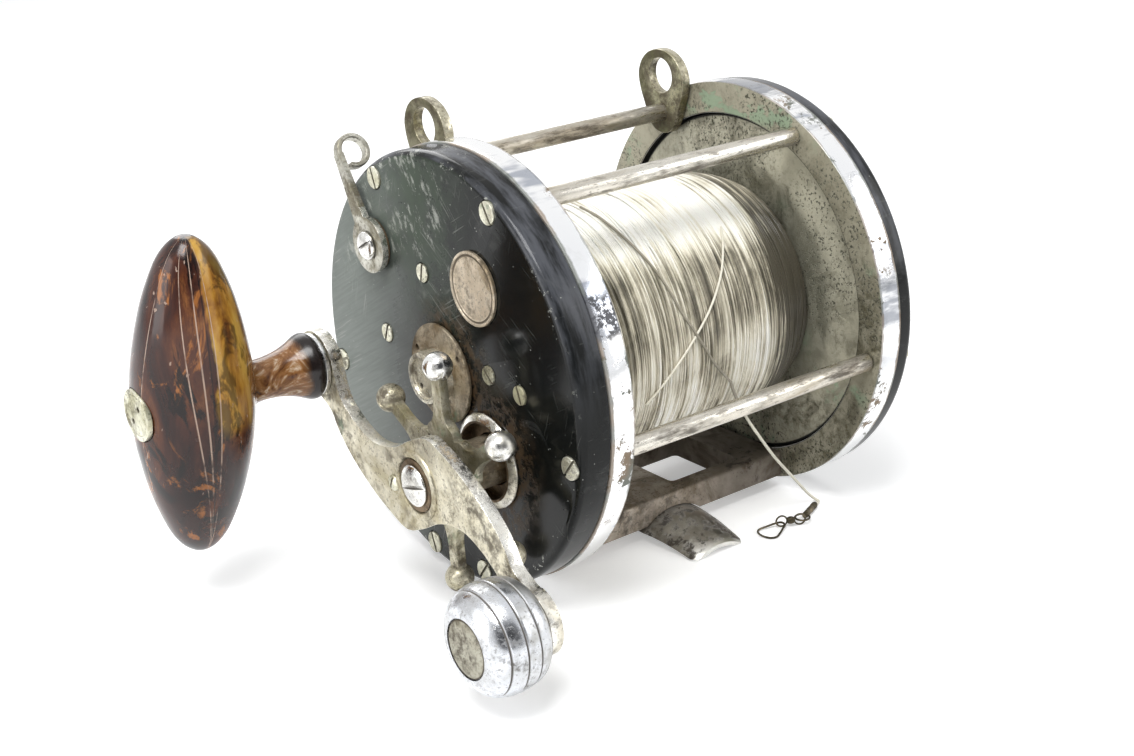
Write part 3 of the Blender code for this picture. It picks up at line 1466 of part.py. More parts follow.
def make_tackle():
    """The free line, and the crimp, the swivel and the snap that end it."""
    line = smooth_route(route_points, route_step)
    wire("free_line", line, line_diameter / 2, line_nylon)
    up = Vector((0, 1, 0))
    surface = -ring_radius * up
    start, end = surface + Vector(crimp_start), surface + Vector(crimp_end)
    along = (end - start).normalized()
    side = along.cross(up)
    crimp = wire("crimp_sleeve", [start, end], crimp_radius, tackle_brass, mesh=True)
    loop_centre = end + along * (crimp_loop_radius - crimp_loop_wire / 2) + up * crimp_loop_lift
    join(crimp, wire("crimp_loop", ring_points(loop_centre, crimp_loop_radius, along, side, 12),
                     crimp_loop_wire, None, True, 0, True, cutters))
    pull = Vector(swivel_pull).normalized()
    eye = loop_centre + along * crimp_loop_radius + up * swivel_lift
    reach = swivel_eye_radius - swivel_eye_wire / 2
    body_start = eye + pull * reach
    body_end = body_start + pull * swivel_body_length
    far_eye = body_end + pull * reach
    swivel = wire("swivel", [body_start, body_end], swivel_body_radius, tackle_brass, mesh=True)
    for index, centre in enumerate((eye, far_eye)):
        join(swivel, wire(f"swivel_eye_{index}", ring_points(centre, swivel_eye_radius, pull, up, 12),
                          swivel_eye_wire, None, True, 0, True, cutters))
    hook = [Vector((far_eye.x, far_eye.y - swivel_lift, far_eye.z))]
    hook += [surface + Vector(point) for point in snap_points]
    closed = smooth_route(hook + hook[:1], snap_step)[:-1]
    wire("snap", closed, snap_wire, tackle_brass, True, 0, True)


# Build everything
make_ring("head_ring", 0, ring_width)
make_ring("tail_ring", -frame_width, tail_ring_outer)
make_head_plate()
make_tail_plate()
for pillar_name, pillar_place in pillar_places.items():
    make_pillar(pillar_name, pillar_place)
make_lug("harness_lug_head", -lug_inset - lug_thickness)
make_lug("harness_lug_tail", -frame_width + lug_inset)
make_stand()
make_foot()
make_medallion()
make_spool()
make_shaft()
make_line_core()
make_wound_line()
make_spool_cap()
make_bushings()
make_tail_cap()
make_bridge()
make_stud()
make_sleeve()
make_ratchet()
make_main_gear()
make_drag_stack()
make_dog()
make_dog_spring()
make_pinion()
make_yoke()
make_yoke_springs()
make_lever()
make_lever_mount()
make_collar()
make_star()
make_crank()
make_crank_screws()
make_counterbalance()
make_grip()
make_grip_mount()
make_click()
make_tackle()
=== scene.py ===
"""Looks of the trolling reel: fine pieces in the reel's own frame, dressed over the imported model.

Shapes are written in millimetres in the reel's frame: u forward, v up and w outwards along the
spool's axis on the crank side. REEL takes them to the row frame, in metres.
"""
import math
import random

import bmesh
import bpy
from mathutils import Matrix, Vector, noise


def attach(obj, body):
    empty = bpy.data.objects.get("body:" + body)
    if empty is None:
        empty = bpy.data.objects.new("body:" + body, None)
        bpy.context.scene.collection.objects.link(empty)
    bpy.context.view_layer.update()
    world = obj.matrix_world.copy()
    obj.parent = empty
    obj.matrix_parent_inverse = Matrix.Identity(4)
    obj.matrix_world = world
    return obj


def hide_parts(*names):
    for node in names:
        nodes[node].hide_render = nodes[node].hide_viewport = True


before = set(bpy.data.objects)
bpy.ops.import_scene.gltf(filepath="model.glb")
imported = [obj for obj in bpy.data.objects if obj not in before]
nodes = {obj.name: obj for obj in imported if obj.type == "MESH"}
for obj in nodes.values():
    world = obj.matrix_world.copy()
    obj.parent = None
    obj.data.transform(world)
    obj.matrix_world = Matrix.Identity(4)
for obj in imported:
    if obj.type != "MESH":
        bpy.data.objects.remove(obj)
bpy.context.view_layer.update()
scene = bpy.context.scene
TURN = 2 * math.pi
REEL = Matrix(((0, 0, -0.001, -0.00705), (-0.001, 0, 0, 0.009987),
               (0, 0.001, 0, 0.060), (0, 0, 0, 1)))
CRANK = (19.0, -19.4)
REACH, TILT = 51.2, math.radians(-24)
COUNTER = (CRANK[0] + REACH * math.cos(TILT), CRANK[1] + REACH * math.sin(TILT))
GRIP = (CRANK[0] - REACH * math.cos(TILT), CRANK[1] - REACH * math.sin(TILT))
LEVER = (-28.6, 29.9)
HEAD_FACE, TAIL_FACE = 16.6, -99.6


# Camera
cam_data = bpy.data.cameras.new("camera")
cam_data.lens = 56.61
cam_data.sensor_width = 36
cam_data.clip_start = 0.01
camera = bpy.data.objects.new("camera", cam_data)
scene.collection.objects.link(camera)
camera.matrix_world = Matrix(((0.7954, 0.2580, -0.5485, -0.25776), (-0.6035, 0.2540, -0.7558, -0.36796),
                              (-0.0556, 0.9322, 0.3578, 0.22615), (0, 0, 0, 1)))
scene.camera = camera


# Node trees
class Tree:
    """A material's or the world's nodes, with short calls for the ones used here."""

    def __init__(self, owner):
        owner.use_nodes = True
        self.nodes, self.links = owner.node_tree.nodes, owner.node_tree.links
        self.place = None

    def add(self, kind, **values):
        node = self.nodes.new(kind)
        for key, value in values.items():
            setattr(node, key, value)
        return node

    def put(self, socket, value):
        if isinstance(value, bpy.types.NodeSocket):
            self.links.new(value, socket)
        elif isinstance(value, (tuple, list)) and len(value) == 3 and socket.type == "RGBA":
            socket.default_value = (*value, 1)
        else:
            socket.default_value = value

    def coords(self):
        if self.place is None:
            self.place = self.add("ShaderNodeTexCoord").outputs["Object"]
        return self.place

    def mapped(self, scale, turn=(0, 0, 0), shift=(0, 0, 0)):
        source = self.coords()
        if any(turn):
            spun = self.add("ShaderNodeMapping")
            self.put(spun.inputs["Vector"], source)
            spun.inputs["Rotation"].default_value = turn
            source = spun.outputs[0]
        node = self.add("ShaderNodeMapping")
        self.put(node.inputs["Vector"], source)
        node.inputs["Scale"].default_value = scale if isinstance(scale, tuple) else (scale,) * 3
        node.inputs["Location"].default_value = shift
        return node.outputs[0]

    def noise(self, scale, detail=3.0, rough=0.55, turn=(0, 0, 0), seed=0.0, twist=0.0):
        node = self.add("ShaderNodeTexNoise")
        self.put(node.inputs["Vector"], self.mapped(scale, turn, (seed, seed * 1.7, seed * 0.6)))
        node.inputs["Scale"].default_value = 1
        node.inputs["Detail"].default_value = detail
        node.inputs["Roughness"].default_value = rough
        node.inputs["Distortion"].default_value = twist
        return node.outputs["Fac"]

    def cells(self, scale, seed=0.0):
        node = self.add("ShaderNodeTexVoronoi")
        self.put(node.inputs["Vector"], self.mapped(scale, shift=(seed, seed, seed)))
        node.inputs["Scale"].default_value = 1
        return node.outputs["Distance"]

    def step(self, value, low, high, out=(0.0, 1.0)):
        node = self.add("ShaderNodeMapRange", interpolation_type="SMOOTHSTEP")
        for key, item in (("Value", value), ("From Min", low), ("From Max", high),
                          ("To Min", out[0]), ("To Max", out[1])):
            self.put(node.inputs[key], item)
        return node.outputs["Result"]

    def math(self, operation, a, b=0.0, clamp=False):
        node = self.add("ShaderNodeMath", operation=operation, use_clamp=clamp)
        self.put(node.inputs[0], a)
        self.put(node.inputs[1], b)
        return node.outputs[0]

    def mix(self, fac, a, b, blend="MIX"):
        node = self.add("ShaderNodeMix", data_type="RGBA", blend_type=blend)
        self.put(node.inputs["Factor"], fac)
        self.put(node.inputs["A"], a)
        self.put(node.inputs["B"], b)
        return node.outputs["Result"]

    def ramp(self, fac, stops):
        node = self.add("ShaderNodeValToRGB")
        line = node.color_ramp.elements
        while len(line) < len(stops):
            line.new(0.5)
        for item, (place, colour) in zip(line, stops):
            item.position = place
            item.color = (*colour, 1)
        self.put(node.inputs["Fac"], fac)
        return node.outputs["Color"]

    def radius(self, centre):
        """Distance from an axis along w, in millimetres."""
        node = self.add("ShaderNodeSeparateXYZ")
        self.put(node.inputs[0], self.coords())
        du = self.math("SUBTRACT", self.math("MULTIPLY", node.outputs[1], -1000), centre[0] - 9.987)
        dv = self.math("SUBTRACT", self.math("MULTIPLY", node.outputs[2], 1000), centre[1] + 60)
        square = self.math("ADD", self.math("MULTIPLY", du, du), self.math("MULTIPLY", dv, dv))
        return self.math("SQRT", square)

    def axis(self, name):
        """One of u, v and w in millimetres."""
        node = self.add("ShaderNodeSeparateXYZ")
        self.put(node.inputs[0], self.coords())
        socket, scale, shift = {"u": (1, -1000, 9.987), "v": (2, 1000, -60), "w": (0, -1000, -7.05)}[name]
        return self.math("ADD", self.math("MULTIPLY", node.outputs[socket], scale), shift)


def surface(name):
    made = bpy.data.materials.new(name)
    tree = Tree(made)
    shader = tree.nodes["Principled BSDF"]
    return made, tree, shader


def bumped(tree, shader, height, depth):
    """Bump of a depth in metres."""
    node = tree.add("ShaderNodeBump")
    node.inputs["Strength"].default_value = 1
    node.inputs["Distance"].default_value = depth
    tree.put(node.inputs["Height"], height)
    tree.put(shader.inputs["Normal"], node.outputs[0])


def part_of(t, value, share, soft):
    """1 on about that share of the surface, by a noise value."""
    limit = 0.63 - 0.26 * share
    return t.step(value, limit - soft, limit + soft)



def recess_grime_and_shade(t, distance, low=0.80, high=0.35):
    """1 in the corners and recesses of the piece itself, found by occlusion: real grime there together with painted
    shade.
    """
    node = t.add("ShaderNodeAmbientOcclusion", samples=4, only_local=True)
    node.inputs["Distance"].default_value = distance
    return t.step(node.outputs["AO"], low, high)


def finish_metal(t, shader, colour, rough, dull, grime, metal=1.0, crust=0.0, seed=0.0, depth=0.00008):
    t.put(shader.inputs["Base Color"], colour)
    t.put(shader.inputs["Metallic"], t.math("MULTIPLY", t.math("SUBTRACT", 1.0, t.math("MULTIPLY", grime, 0.85)),
                                            metal))
    level = t.math("ADD", rough, t.math("ADD", t.math("MULTIPLY", dull, 0.22), t.math("MULTIPLY", grime, 0.38)))
    t.put(shader.inputs["Roughness"], t.math("MINIMUM", level, 0.95))
    height = t.math("SUBTRACT", t.math("MULTIPLY", t.noise(1400, 4, 0.6, seed=seed + 2), 0.2 + crust),
                    t.math("MULTIPLY", grime, 0.7))
    bumped(t, shader, height, depth)


def worn_metal(name, base, stain, rough, stained=0.5, grimy=0.5, green=0.0, seed=0.0, crust=0.0,
               grime_colour=(0.060, 0.044, 0.026), green_colour=(0.13, 0.20, 0.12), metal=1.0, extra=None,
               along=1.0, soft=0.09, depth=0.00006):
    """Metal with broad stains, dark grime and verdigris, each on a share of it from 0 to 1; the grime also carries
    painted shade in the piece's own recesses.
    """
    made, t, shader = surface(name)

    def patches(scale, detail, rough_by, shift, twist=0.0):
        return t.noise((scale * along, scale, scale), detail, rough_by, seed=seed + shift, twist=twist)

    broad = part_of(t, patches(55, 7, 0.68, 0, 0.5), stained, 0.10)
    blots = part_of(t, patches(270, 8, 0.76, 3), grimy, soft)
    specks = part_of(t, patches(1000, 4, 0.7, 5), grimy * 0.45, 0.03)
    gather = t.step(t.noise(42, 4, 0.6, seed=seed + 13), 0.42, 0.58, (0.12, 1.0))
    grime = t.math("MAXIMUM", t.math("MULTIPLY", blots, gather), t.math("MULTIPLY", specks, 0.6))
    # Grime in the piece's own recesses, found by occlusion: real grime, with painted shade.
    grime = t.math("MAXIMUM", grime, recess_grime_and_shade(t, 0.0016))
    if extra is not None:
        grime = t.math("MAXIMUM", grime, extra(t))
    tone = t.step(patches(150, 6, 0.66, 21), 0.3, 0.7, (0.0, 0.6))
    colour = t.mix(t.math("MAXIMUM", broad, tone), base, stain)
    colour = t.mix(t.math("MULTIPLY", grime, 0.88), colour, grime_colour)
    if green:
        moss = t.math("MULTIPLY", part_of(t, t.noise(190, 8, 0.76, seed=seed + 9), green, 0.06),
                      t.step(t.noise(33, 2, seed=seed + 17), 0.50, 0.60))
        colour = t.mix(t.math("MULTIPLY", moss, 0.7), colour, green_colour)
        grime = t.math("MAXIMUM", grime, t.math("MULTIPLY", moss, 0.7))
    finish_metal(t, shader, colour, rough, broad, grime, metal, crust, seed, depth)
    return made


def near_level(*levels, wide=0.35):
    """Grime in the grooves at these levels of w."""
    def mask(t):
        w = t.axis("w")
        found = 0.0
        for level in levels:
            off = t.math("ABSOLUTE", t.math("SUBTRACT", w, level))
            found = t.math("MAXIMUM", found, t.step(off, wide + 0.15, wide - 0.1))
        return found
    return mask


def beyond(centre, radius, soft=0.3):
    """Grime outside this radius about an axis along w."""
    return lambda t: t.step(t.radius(centre), radius - soft, radius)


chrome = worn_metal("chrome", (0.88, 0.89, 0.90), (0.66, 0.65, 0.62), 0.10, 0.20, 0.12, depth=0.00002)
ball_chrome = worn_metal("ball_chrome", (0.88, 0.88, 0.87), (0.58, 0.56, 0.50), 0.15, 0.30, 0.20, 0, 2,
                         depth=0.000015)
counter_chrome = worn_metal("counter_chrome", (0.70, 0.72, 0.76), (0.46, 0.46, 0.45), 0.22, 0.36, 0.20, 0, 71,
                            extra=near_level(53.92, 49.67, 45.675, 41.2, wide=0.18), depth=0.00002)
counter_cap_look = worn_metal("counter_cap_nickel", (0.44, 0.425, 0.35), (0.23, 0.21, 0.15), 0.36, 0.5, 0.40, 0,
                              74, 0.4, extra=beyond(COUNTER, 7.2))
nickel = worn_metal("nickel", (0.68, 0.66, 0.58), (0.32, 0.29, 0.20), 0.24, 0.42, 0.40, 0.10, 4)
lever_look = worn_metal("lever_nickel", (0.68, 0.67, 0.60), (0.24, 0.22, 0.16), 0.24, 0.50, 0.50, 0, 7)
edge_nickel = worn_metal("edge_nickel", (0.92, 0.91, 0.86), (0.66, 0.62, 0.52), 0.18, 0.30, 0.26, 0, 9,
                         depth=0.00003)
pillar_nickel = worn_metal("pillar_nickel", (0.74, 0.71, 0.64), (0.38, 0.33, 0.25), 0.22, 0.50, 0.34, 0, 6,
                           along=0.22, depth=0.00004)
olive = worn_metal("olive_patina", (0.66, 0.62, 0.49), (0.25, 0.225, 0.13), 0.25, 0.50, 0.46, 0.16, 11)
# The extra mask darkens the head lug beside the head ring: painted shade.
lug_look = worn_metal("lug_olive", (0.38, 0.36, 0.24), (0.11, 0.105, 0.055), 0.34, 0.60, 0.50, 0.15, 14, 0.2,
                      extra=lambda t: t.step(t.axis("w"), -30, -5, (0.0, 0.45)))
crank_nickel = worn_metal("crank_nickel", (0.70, 0.66, 0.53), (0.45, 0.40, 0.27), 0.27, 0.46, 0.46, 0.16, 17,
                          green_colour=(0.12, 0.24, 0.15))
screw_look = worn_metal("screw_nickel", (0.86, 0.85, 0.72), (0.46, 0.44, 0.30), 0.28, 0.40, 0.34, 0.08, 23)
boss_look = worn_metal("boss_nickel", (0.86, 0.82, 0.70), (0.40, 0.35, 0.24), 0.24, 0.40, 0.44, 0, 26)
rusty = worn_metal("rusty_nickel", (0.54, 0.47, 0.35), (0.17, 0.115, 0.055), 0.34, 0.55, 0.52, 0.16, 29, 0.2)
rust_dark = worn_metal("rust_dark", (0.28, 0.20, 0.12), (0.08, 0.05, 0.026), 0.38, 0.60, 0.55, 0, 33, 0.3)
badge_look = worn_metal("badge_metal", (0.72, 0.63, 0.50), (0.34, 0.27, 0.18), 0.34, 0.45, 0.40, 0, 61, 0.5,
                        extra=lambda t: t.step(t.math("ABSOLUTE", t.math(
                            "SUBTRACT", t.radius((18.1, 27.5)), 8.75)), 0.45, 0.2))
stand_look = worn_metal("stand_metal", (0.50, 0.44, 0.37), (0.22, 0.175, 0.125), 0.42, 0.42, 0.42, 0, 41, 0.6,
                        grime_colour=(0.035, 0.026, 0.018), metal=0.8,
                        extra=lambda t: t.step(t.axis("w"), -40, -72, (0.0, 0.65)))
brass_look = worn_metal("brass", (0.62, 0.46, 0.20), (0.36, 0.26, 0.12), 0.28, 0.30, 0.15, 0, 47)
steel_look = worn_metal("steel", (0.45, 0.45, 0.46), (0.30, 0.29, 0.28), 0.28, 0.30, 0.15, 0, 53)
tackle_look = worn_metal("tackle_brass", (0.24, 0.20, 0.13), (0.07, 0.06, 0.04), 0.32, 0.5, 0.35, 0, 59)


def foot_metal():
    """The foot: steel, grimy at its root and worn bright along the toes."""
    made, t, shader = surface("foot_metal")
    reach = t.math("ABSOLUTE", t.axis("u"))
    root = t.step(t.math("ADD", reach, t.math("MULTIPLY", t.noise(150, 5, seed=3), 14)), 31, 24)
    toe = t.step(reach, 37.9, 38.9)
    broad = part_of(t, t.noise(60, 6, 0.65, seed=43), 0.5, 0.07)
    grime = part_of(t, t.noise(260, 8, 0.74, seed=44), 0.36, 0.04)
    grime = t.math("MAXIMUM", grime, t.math("MULTIPLY", root, 0.8))
    colour = t.mix(broad, (0.60, 0.585, 0.56), (0.28, 0.26, 0.225))
    colour = t.mix(t.math("MULTIPLY", grime, 0.9), colour, (0.040, 0.030, 0.022))
    colour = t.mix(t.math("MULTIPLY", toe, 0.85), colour, (0.78, 0.77, 0.73))
    finish_metal(t, shader, colour, 0.30, broad, t.math("MULTIPLY", grime, t.math("SUBTRACT", 1.0, toe)), 1.0,
                 0.3, 43)
    return made


def crusted(name, light, dark, seed, gap, green_top):
    """Pale crust over dark metal with pits, with painted shade where the spool's rim meets the ring."""
    made, t, shader = surface(name)
    crust = part_of(t, t.noise(95, 9, 0.80, seed=seed, twist=0.8), 0.52, 0.06)
    fine = part_of(t, t.noise(520, 7, 0.75, seed=seed + 2), 0.62, 0.06)
    pits = part_of(t, t.noise(1050, 4, 0.68, seed=seed + 4), 0.24, 0.03)
    where = t.step(t.noise(40, 3, seed=seed + 6), 0.40, 0.56)
    pits = t.math("MULTIPLY", pits, where)
    colour = t.mix(t.math("ADD", t.math("MULTIPLY", crust, 0.62), t.math("MULTIPLY", fine, 0.38)), dark, light)
    wide = t.step(t.noise(30, 5, 0.6, seed=seed + 18, twist=0.8), 0.42, 0.60)
    colour = t.mix(t.math("MULTIPLY", wide, 0.6), colour, tuple(min(1, 1.25 * c) for c in light))
    green = t.math("MULTIPLY", part_of(t, t.noise(90, 6, 0.7, seed=seed + 8), 0.22, 0.05),
                   t.step(t.noise(26, 2, seed=seed + 10), 0.52, 0.60))
    if green_top:
        high = t.step(t.axis("v"), 47, 52)
        patch = t.step(t.noise((60, 70, 110), 6, 0.65, seed=seed + 12), 0.50, 0.54)
        green = t.math("MAXIMUM", green, t.math("MULTIPLY", high, patch))
    colour = t.mix(t.math("MULTIPLY", green, 0.7), colour, (0.25, 0.36, 0.24))
    colour = t.mix(t.math("MULTIPLY", pits, 0.9), colour, (0.040, 0.040, 0.024))
    radius = t.radius((0, 0))
    # Near black at the rim where spool and ring meet: painted shade in the gap between them.
    gap_shade = t.step(radius, *gap)
    # Darker inwards from radius 41, towards the line pack.
    inner_darkening = t.step(radius, 41.0, 37.0)
    colour = t.mix(t.math("MULTIPLY", inner_darkening, 0.40), colour, (0.10, 0.10, 0.07))
    colour = t.mix(gap_shade, colour, (0.010, 0.010, 0.008))
    rough = t.math("MAXIMUM", pits, t.math("MAXIMUM", gap_shade, green))
    finish_metal(t, shader, colour, 0.42, crust, rough, 0.55, 0.9, seed)
    return made


def ring_chrome(name, face_w, inner_w):
    """The rings' chrome: bright, with brown lines at its edges, pitted patches, dark spots and painted reflections in
    bluish grey.
    """
    made, t, shader = surface(name)
    w = t.axis("w")
    fine = t.step(t.noise(560, 6, 0.72, seed=face_w), 0.49, 0.54)
    patch = t.step(t.noise(34, 4, 0.6, seed=face_w + 2), 0.60, 0.64)
    height = t.math("ADD", t.axis("v"), t.math("MULTIPLY", t.noise(150, 4, seed=face_w + 23), 5))
    if face_w > 0:
        front = t.step(t.axis("u"), 20, 30)
        # A band across the front at mid height: real pits, darkened bluish grey as a painted reflection.
        pitted_band_and_reflection = t.math("MULTIPLY", t.step(t.math("ABSOLUTE", t.math("SUBTRACT", height, 28.0)), 6.0, 4.0), front)
        patch = t.math("MAXIMUM", patch, pitted_band_and_reflection)
        spatter = t.math("MULTIPLY", t.step(t.math("ABSOLUTE", t.math("SUBTRACT", height, -14.0)), 15.0, 11.0),
                         front)
    spots = t.math("MULTIPLY", t.step(t.noise(260, 4, 0.6, seed=face_w + 6), 0.60, 0.625),
                   t.step(t.noise(48, 2, seed=face_w + 11), 0.50, 0.55))
    if face_w > 0:
        spots = t.math("MAXIMUM", spots, t.math("MULTIPLY", spatter, t.step(
            t.noise(150, 6, 0.72, seed=41), 0.560, 0.585)))
    flaws = t.math("MAXIMUM", t.math("MULTIPLY", fine, patch), spots)
    wobble = t.math("MULTIPLY", t.noise(260, 4, 0.65, seed=7), 1.5)
    near = t.math("SUBTRACT", t.math("ABSOLUTE", t.math("SUBTRACT", w, face_w)), wobble)
    far = t.math("SUBTRACT", t.math("ABSOLUTE", t.math("SUBTRACT", w, inner_w)), wobble)
    lines = t.math("MAXIMUM", t.step(near, 0.25, -0.25), t.math("MULTIPLY", t.step(far, 0.05, -0.45), 0.8))
    blot = t.math("MAXIMUM", flaws, t.math("MULTIPLY", lines, 0.85))
    hue = t.mix(t.step(t.noise(90, 2, seed=3), 0.4, 0.6), (0.16, 0.095, 0.035), (0.075, 0.085, 0.06))
    haze = t.step(t.noise(46, 5, 0.65, seed=15, twist=0.4), 0.50, 0.66)
    # Bluish grey patches over the chrome: painted reflections.
    bluish_reflection = t.step(t.noise((20, 60, 60), 4, 0.6, seed=face_w + 19), 0.58, 0.66)
    colour = t.mix(t.math("MULTIPLY", haze, 0.6), (0.95, 0.955, 0.96), (0.74, 0.74, 0.73))
    colour = t.mix(t.math("MULTIPLY", bluish_reflection, 0.75), colour, (0.30, 0.33, 0.40))
    if face_w > 0:
        # The band's bluish grey darkening is a painted reflection; its pits are real.
        colour = t.mix(t.math("MULTIPLY", pitted_band_and_reflection, 0.65), colour, (0.36, 0.38, 0.43))
        hue = t.mix(pitted_band_and_reflection, hue, (0.035, 0.035, 0.040))
    else:
        # Dark patches on the tail ring's upper part: a painted dark reflection.
        dark = t.math("MULTIPLY", t.step(t.noise((20, 75, 75), 5, 0.65, seed=83), 0.43, 0.55),
                      t.step(t.axis("v"), -24, 4))
        colour = t.mix(t.math("MULTIPLY", dark, 0.8), colour, (0.20, 0.215, 0.25))
    colour = t.mix(t.math("MULTIPLY", blot, 0.92), colour, hue)
    finish_metal(t, shader, colour, 0.10, t.math("MULTIPLY", haze, 0.8), blot, 1.0, 0.0, 5, 0.00006)
    return made


def ebonite(name, seed, fade_and_reflection):
    """Polished black plate, scratched, specked and stained brown, fading at its upper rear; painted reflections there
    and in front, a painted highlight on its side.
    """
    made, t, shader = surface(name)
    u, v, radius = t.axis("u"), t.axis("v"), t.radius((0, 0))
    face = t.step(radius, 58.6, 57.8)
    # Pale haze towards the rear: real fading of the ebonite, together with a painted reflection of the studio light.
    slant = t.math("ADD", t.math("MULTIPLY", u, -0.95), t.math("MULTIPLY", v, -0.05))
    slant = t.math("ADD", slant, t.math("MULTIPLY", t.noise(40, 5, 0.6, seed=seed + 30), 14))
    haze = t.math("MULTIPLY", t.math("MULTIPLY", t.step(slant, 8, 50), fade_and_reflection), face)
    brushed = t.noise((30, 60, 1300), 4, 0.7, (0.5, 0, 0), seed + 33)
    haze = t.math("MULTIPLY", haze, t.step(brushed, 0.25, 0.75, (0.72, 1.0)))
    mossy = t.math("MULTIPLY", t.math("MULTIPLY", t.step(v, -5, 38), face), fade_and_reflection)
    mossy = t.math("MULTIPLY", mossy, t.step(u, 26, -8))
    mossy = t.math("MULTIPLY", mossy, t.step(t.noise(60, 6, 0.7, seed=seed + 35), 0.30, 0.62))
    colour = t.mix(mossy, (0.0055, 0.0062, 0.0060), (0.034, 0.050, 0.031))
    # Pale grey-green haze: fading, with a painted reflection.
    colour = t.mix(haze, colour, (0.190, 0.212, 0.194))
    # Smoky grey patches, stronger in front: smudges on the plate, with painted reflections of the pieces before it.
    smudges_and_reflection = t.step(t.noise(52, 5, 0.62, seed=seed + 2, twist=1.2), 0.52, 0.72)
    smudges_and_reflection = t.math("MULTIPLY", smudges_and_reflection, t.step(u, -20, 15, (0.25, 0.8)))
    colour = t.mix(t.math("MULTIPLY", smudges_and_reflection, 0.45), colour, (0.085, 0.088, 0.084))
    chalk = t.math("MULTIPLY", t.step(t.noise((300, 300, 150), 8, 0.8, (0.5, 0, 0), seed + 5), 0.52, 0.60),
                   t.step(t.noise(75, 4, seed=seed + 7), 0.47, 0.56))
    chalk = t.math("MULTIPLY", t.math("MULTIPLY", chalk, t.step(v, 16, 28)), t.step(u, 14, 2))
    scratch = 0.0
    for index, (turn, along, across) in enumerate(((0.5, 70, 2100), (1.25, 90, 2600), (-0.6, 60, 2300),
                                                   (2.3, 110, 2800))):
        lines = t.noise((150, along, across), 1, 0.4, (turn, 0, 0), seed + index * 3.1)
        few = t.math("MULTIPLY", t.step(t.noise(46, 2, seed=seed + index * 7.7), 0.55, 0.62),
                     t.step(u, 30, -10, (0.25, 1.0)))
        scratch = t.math("MAXIMUM", scratch, t.math("MULTIPLY", t.step(lines, 0.68, 0.72), few))
    dust = t.math("MULTIPLY", t.step(t.cells(470, seed), 0.10, 0.05),
                  t.step(t.noise(85, 3, seed=seed + 1), 0.48, 0.58))
    chips = t.math("MULTIPLY", t.step(t.noise(380, 6, 0.75, seed=seed + 12), 0.57, 0.61),
                   t.step(t.math("ABSOLUTE", t.math("SUBTRACT", radius, 57.8)), 1.7, 0.6))
    chips = t.math("MULTIPLY", chips, t.step(t.noise(42, 2, seed=seed + 14), 0.47, 0.55))
    near_cap = t.step(radius, 25, 13)
    near_crank = t.step(t.radius(CRANK), 27, 13)
    around = t.math("MAXIMUM", near_cap, near_crank)
    grime = t.math("MULTIPLY", around, t.step(t.noise(300, 8, 0.78, seed=seed + 4), 0.42, 0.58))
    grime = t.math("MULTIPLY", grime, t.step(u, -12, 4, (0.15, 1.0)))
    # Grime in the plate's own recesses, found by occlusion: real grime, with painted shade.
    grime = t.math("MAXIMUM", grime, t.math("MULTIPLY", recess_grime_and_shade(t, 0.0018), 0.9))
    colour = t.mix(t.math("MULTIPLY", grime, 0.8), colour, (0.070, 0.042, 0.020))
    side = t.math("SUBTRACT", 1.0, face)
    # Lighter upper part of the side band: a painted highlight.
    painted_side_highlight = t.math("MULTIPLY", side, t.step(v, -5, 45))
    painted_side_highlight = t.math("MULTIPLY", painted_side_highlight, t.step(t.noise((240, 40, 40), 5, 0.65, seed=seed + 16), 0.38, 0.62))
    colour = t.mix(t.math("MULTIPLY", painted_side_highlight, 0.7), colour, (0.105, 0.110, 0.125))
    pale = t.math("MAXIMUM", t.math("MULTIPLY", scratch, 0.28), t.math("MULTIPLY", dust, 0.75))
    pale = t.math("MAXIMUM", pale, t.math("MAXIMUM", t.math("MULTIPLY", chalk, 0.55), t.math("MULTIPLY", chips, 0.8)))
    colour = t.mix(pale, colour, (0.42, 0.43, 0.39))
    t.put(shader.inputs["Base Color"], colour)
    rough = t.math("ADD", t.math("MULTIPLY", haze, 0.30), t.math("MULTIPLY", grime, 0.40))
    rough = t.math("ADD", rough, t.math("MULTIPLY", smudges_and_reflection, 0.20))
    rough = t.math("ADD", rough, t.math("MULTIPLY", t.math("MAXIMUM", pale, mossy), 0.25))
    t.put(shader.inputs["Roughness"], t.math("ADD", 0.13, rough, True))
    shader.inputs["IOR"].default_value = 1.55
    shader.inputs["Specular IOR Level"].default_value = 0.16
    waves = t.math("MULTIPLY", t.noise(60, 2, seed=seed + 8), 0.6)
    bumped(t, shader, t.math("SUBTRACT", waves, t.math("MULTIPLY", pale, 0.3)), 0.00007)
    return made


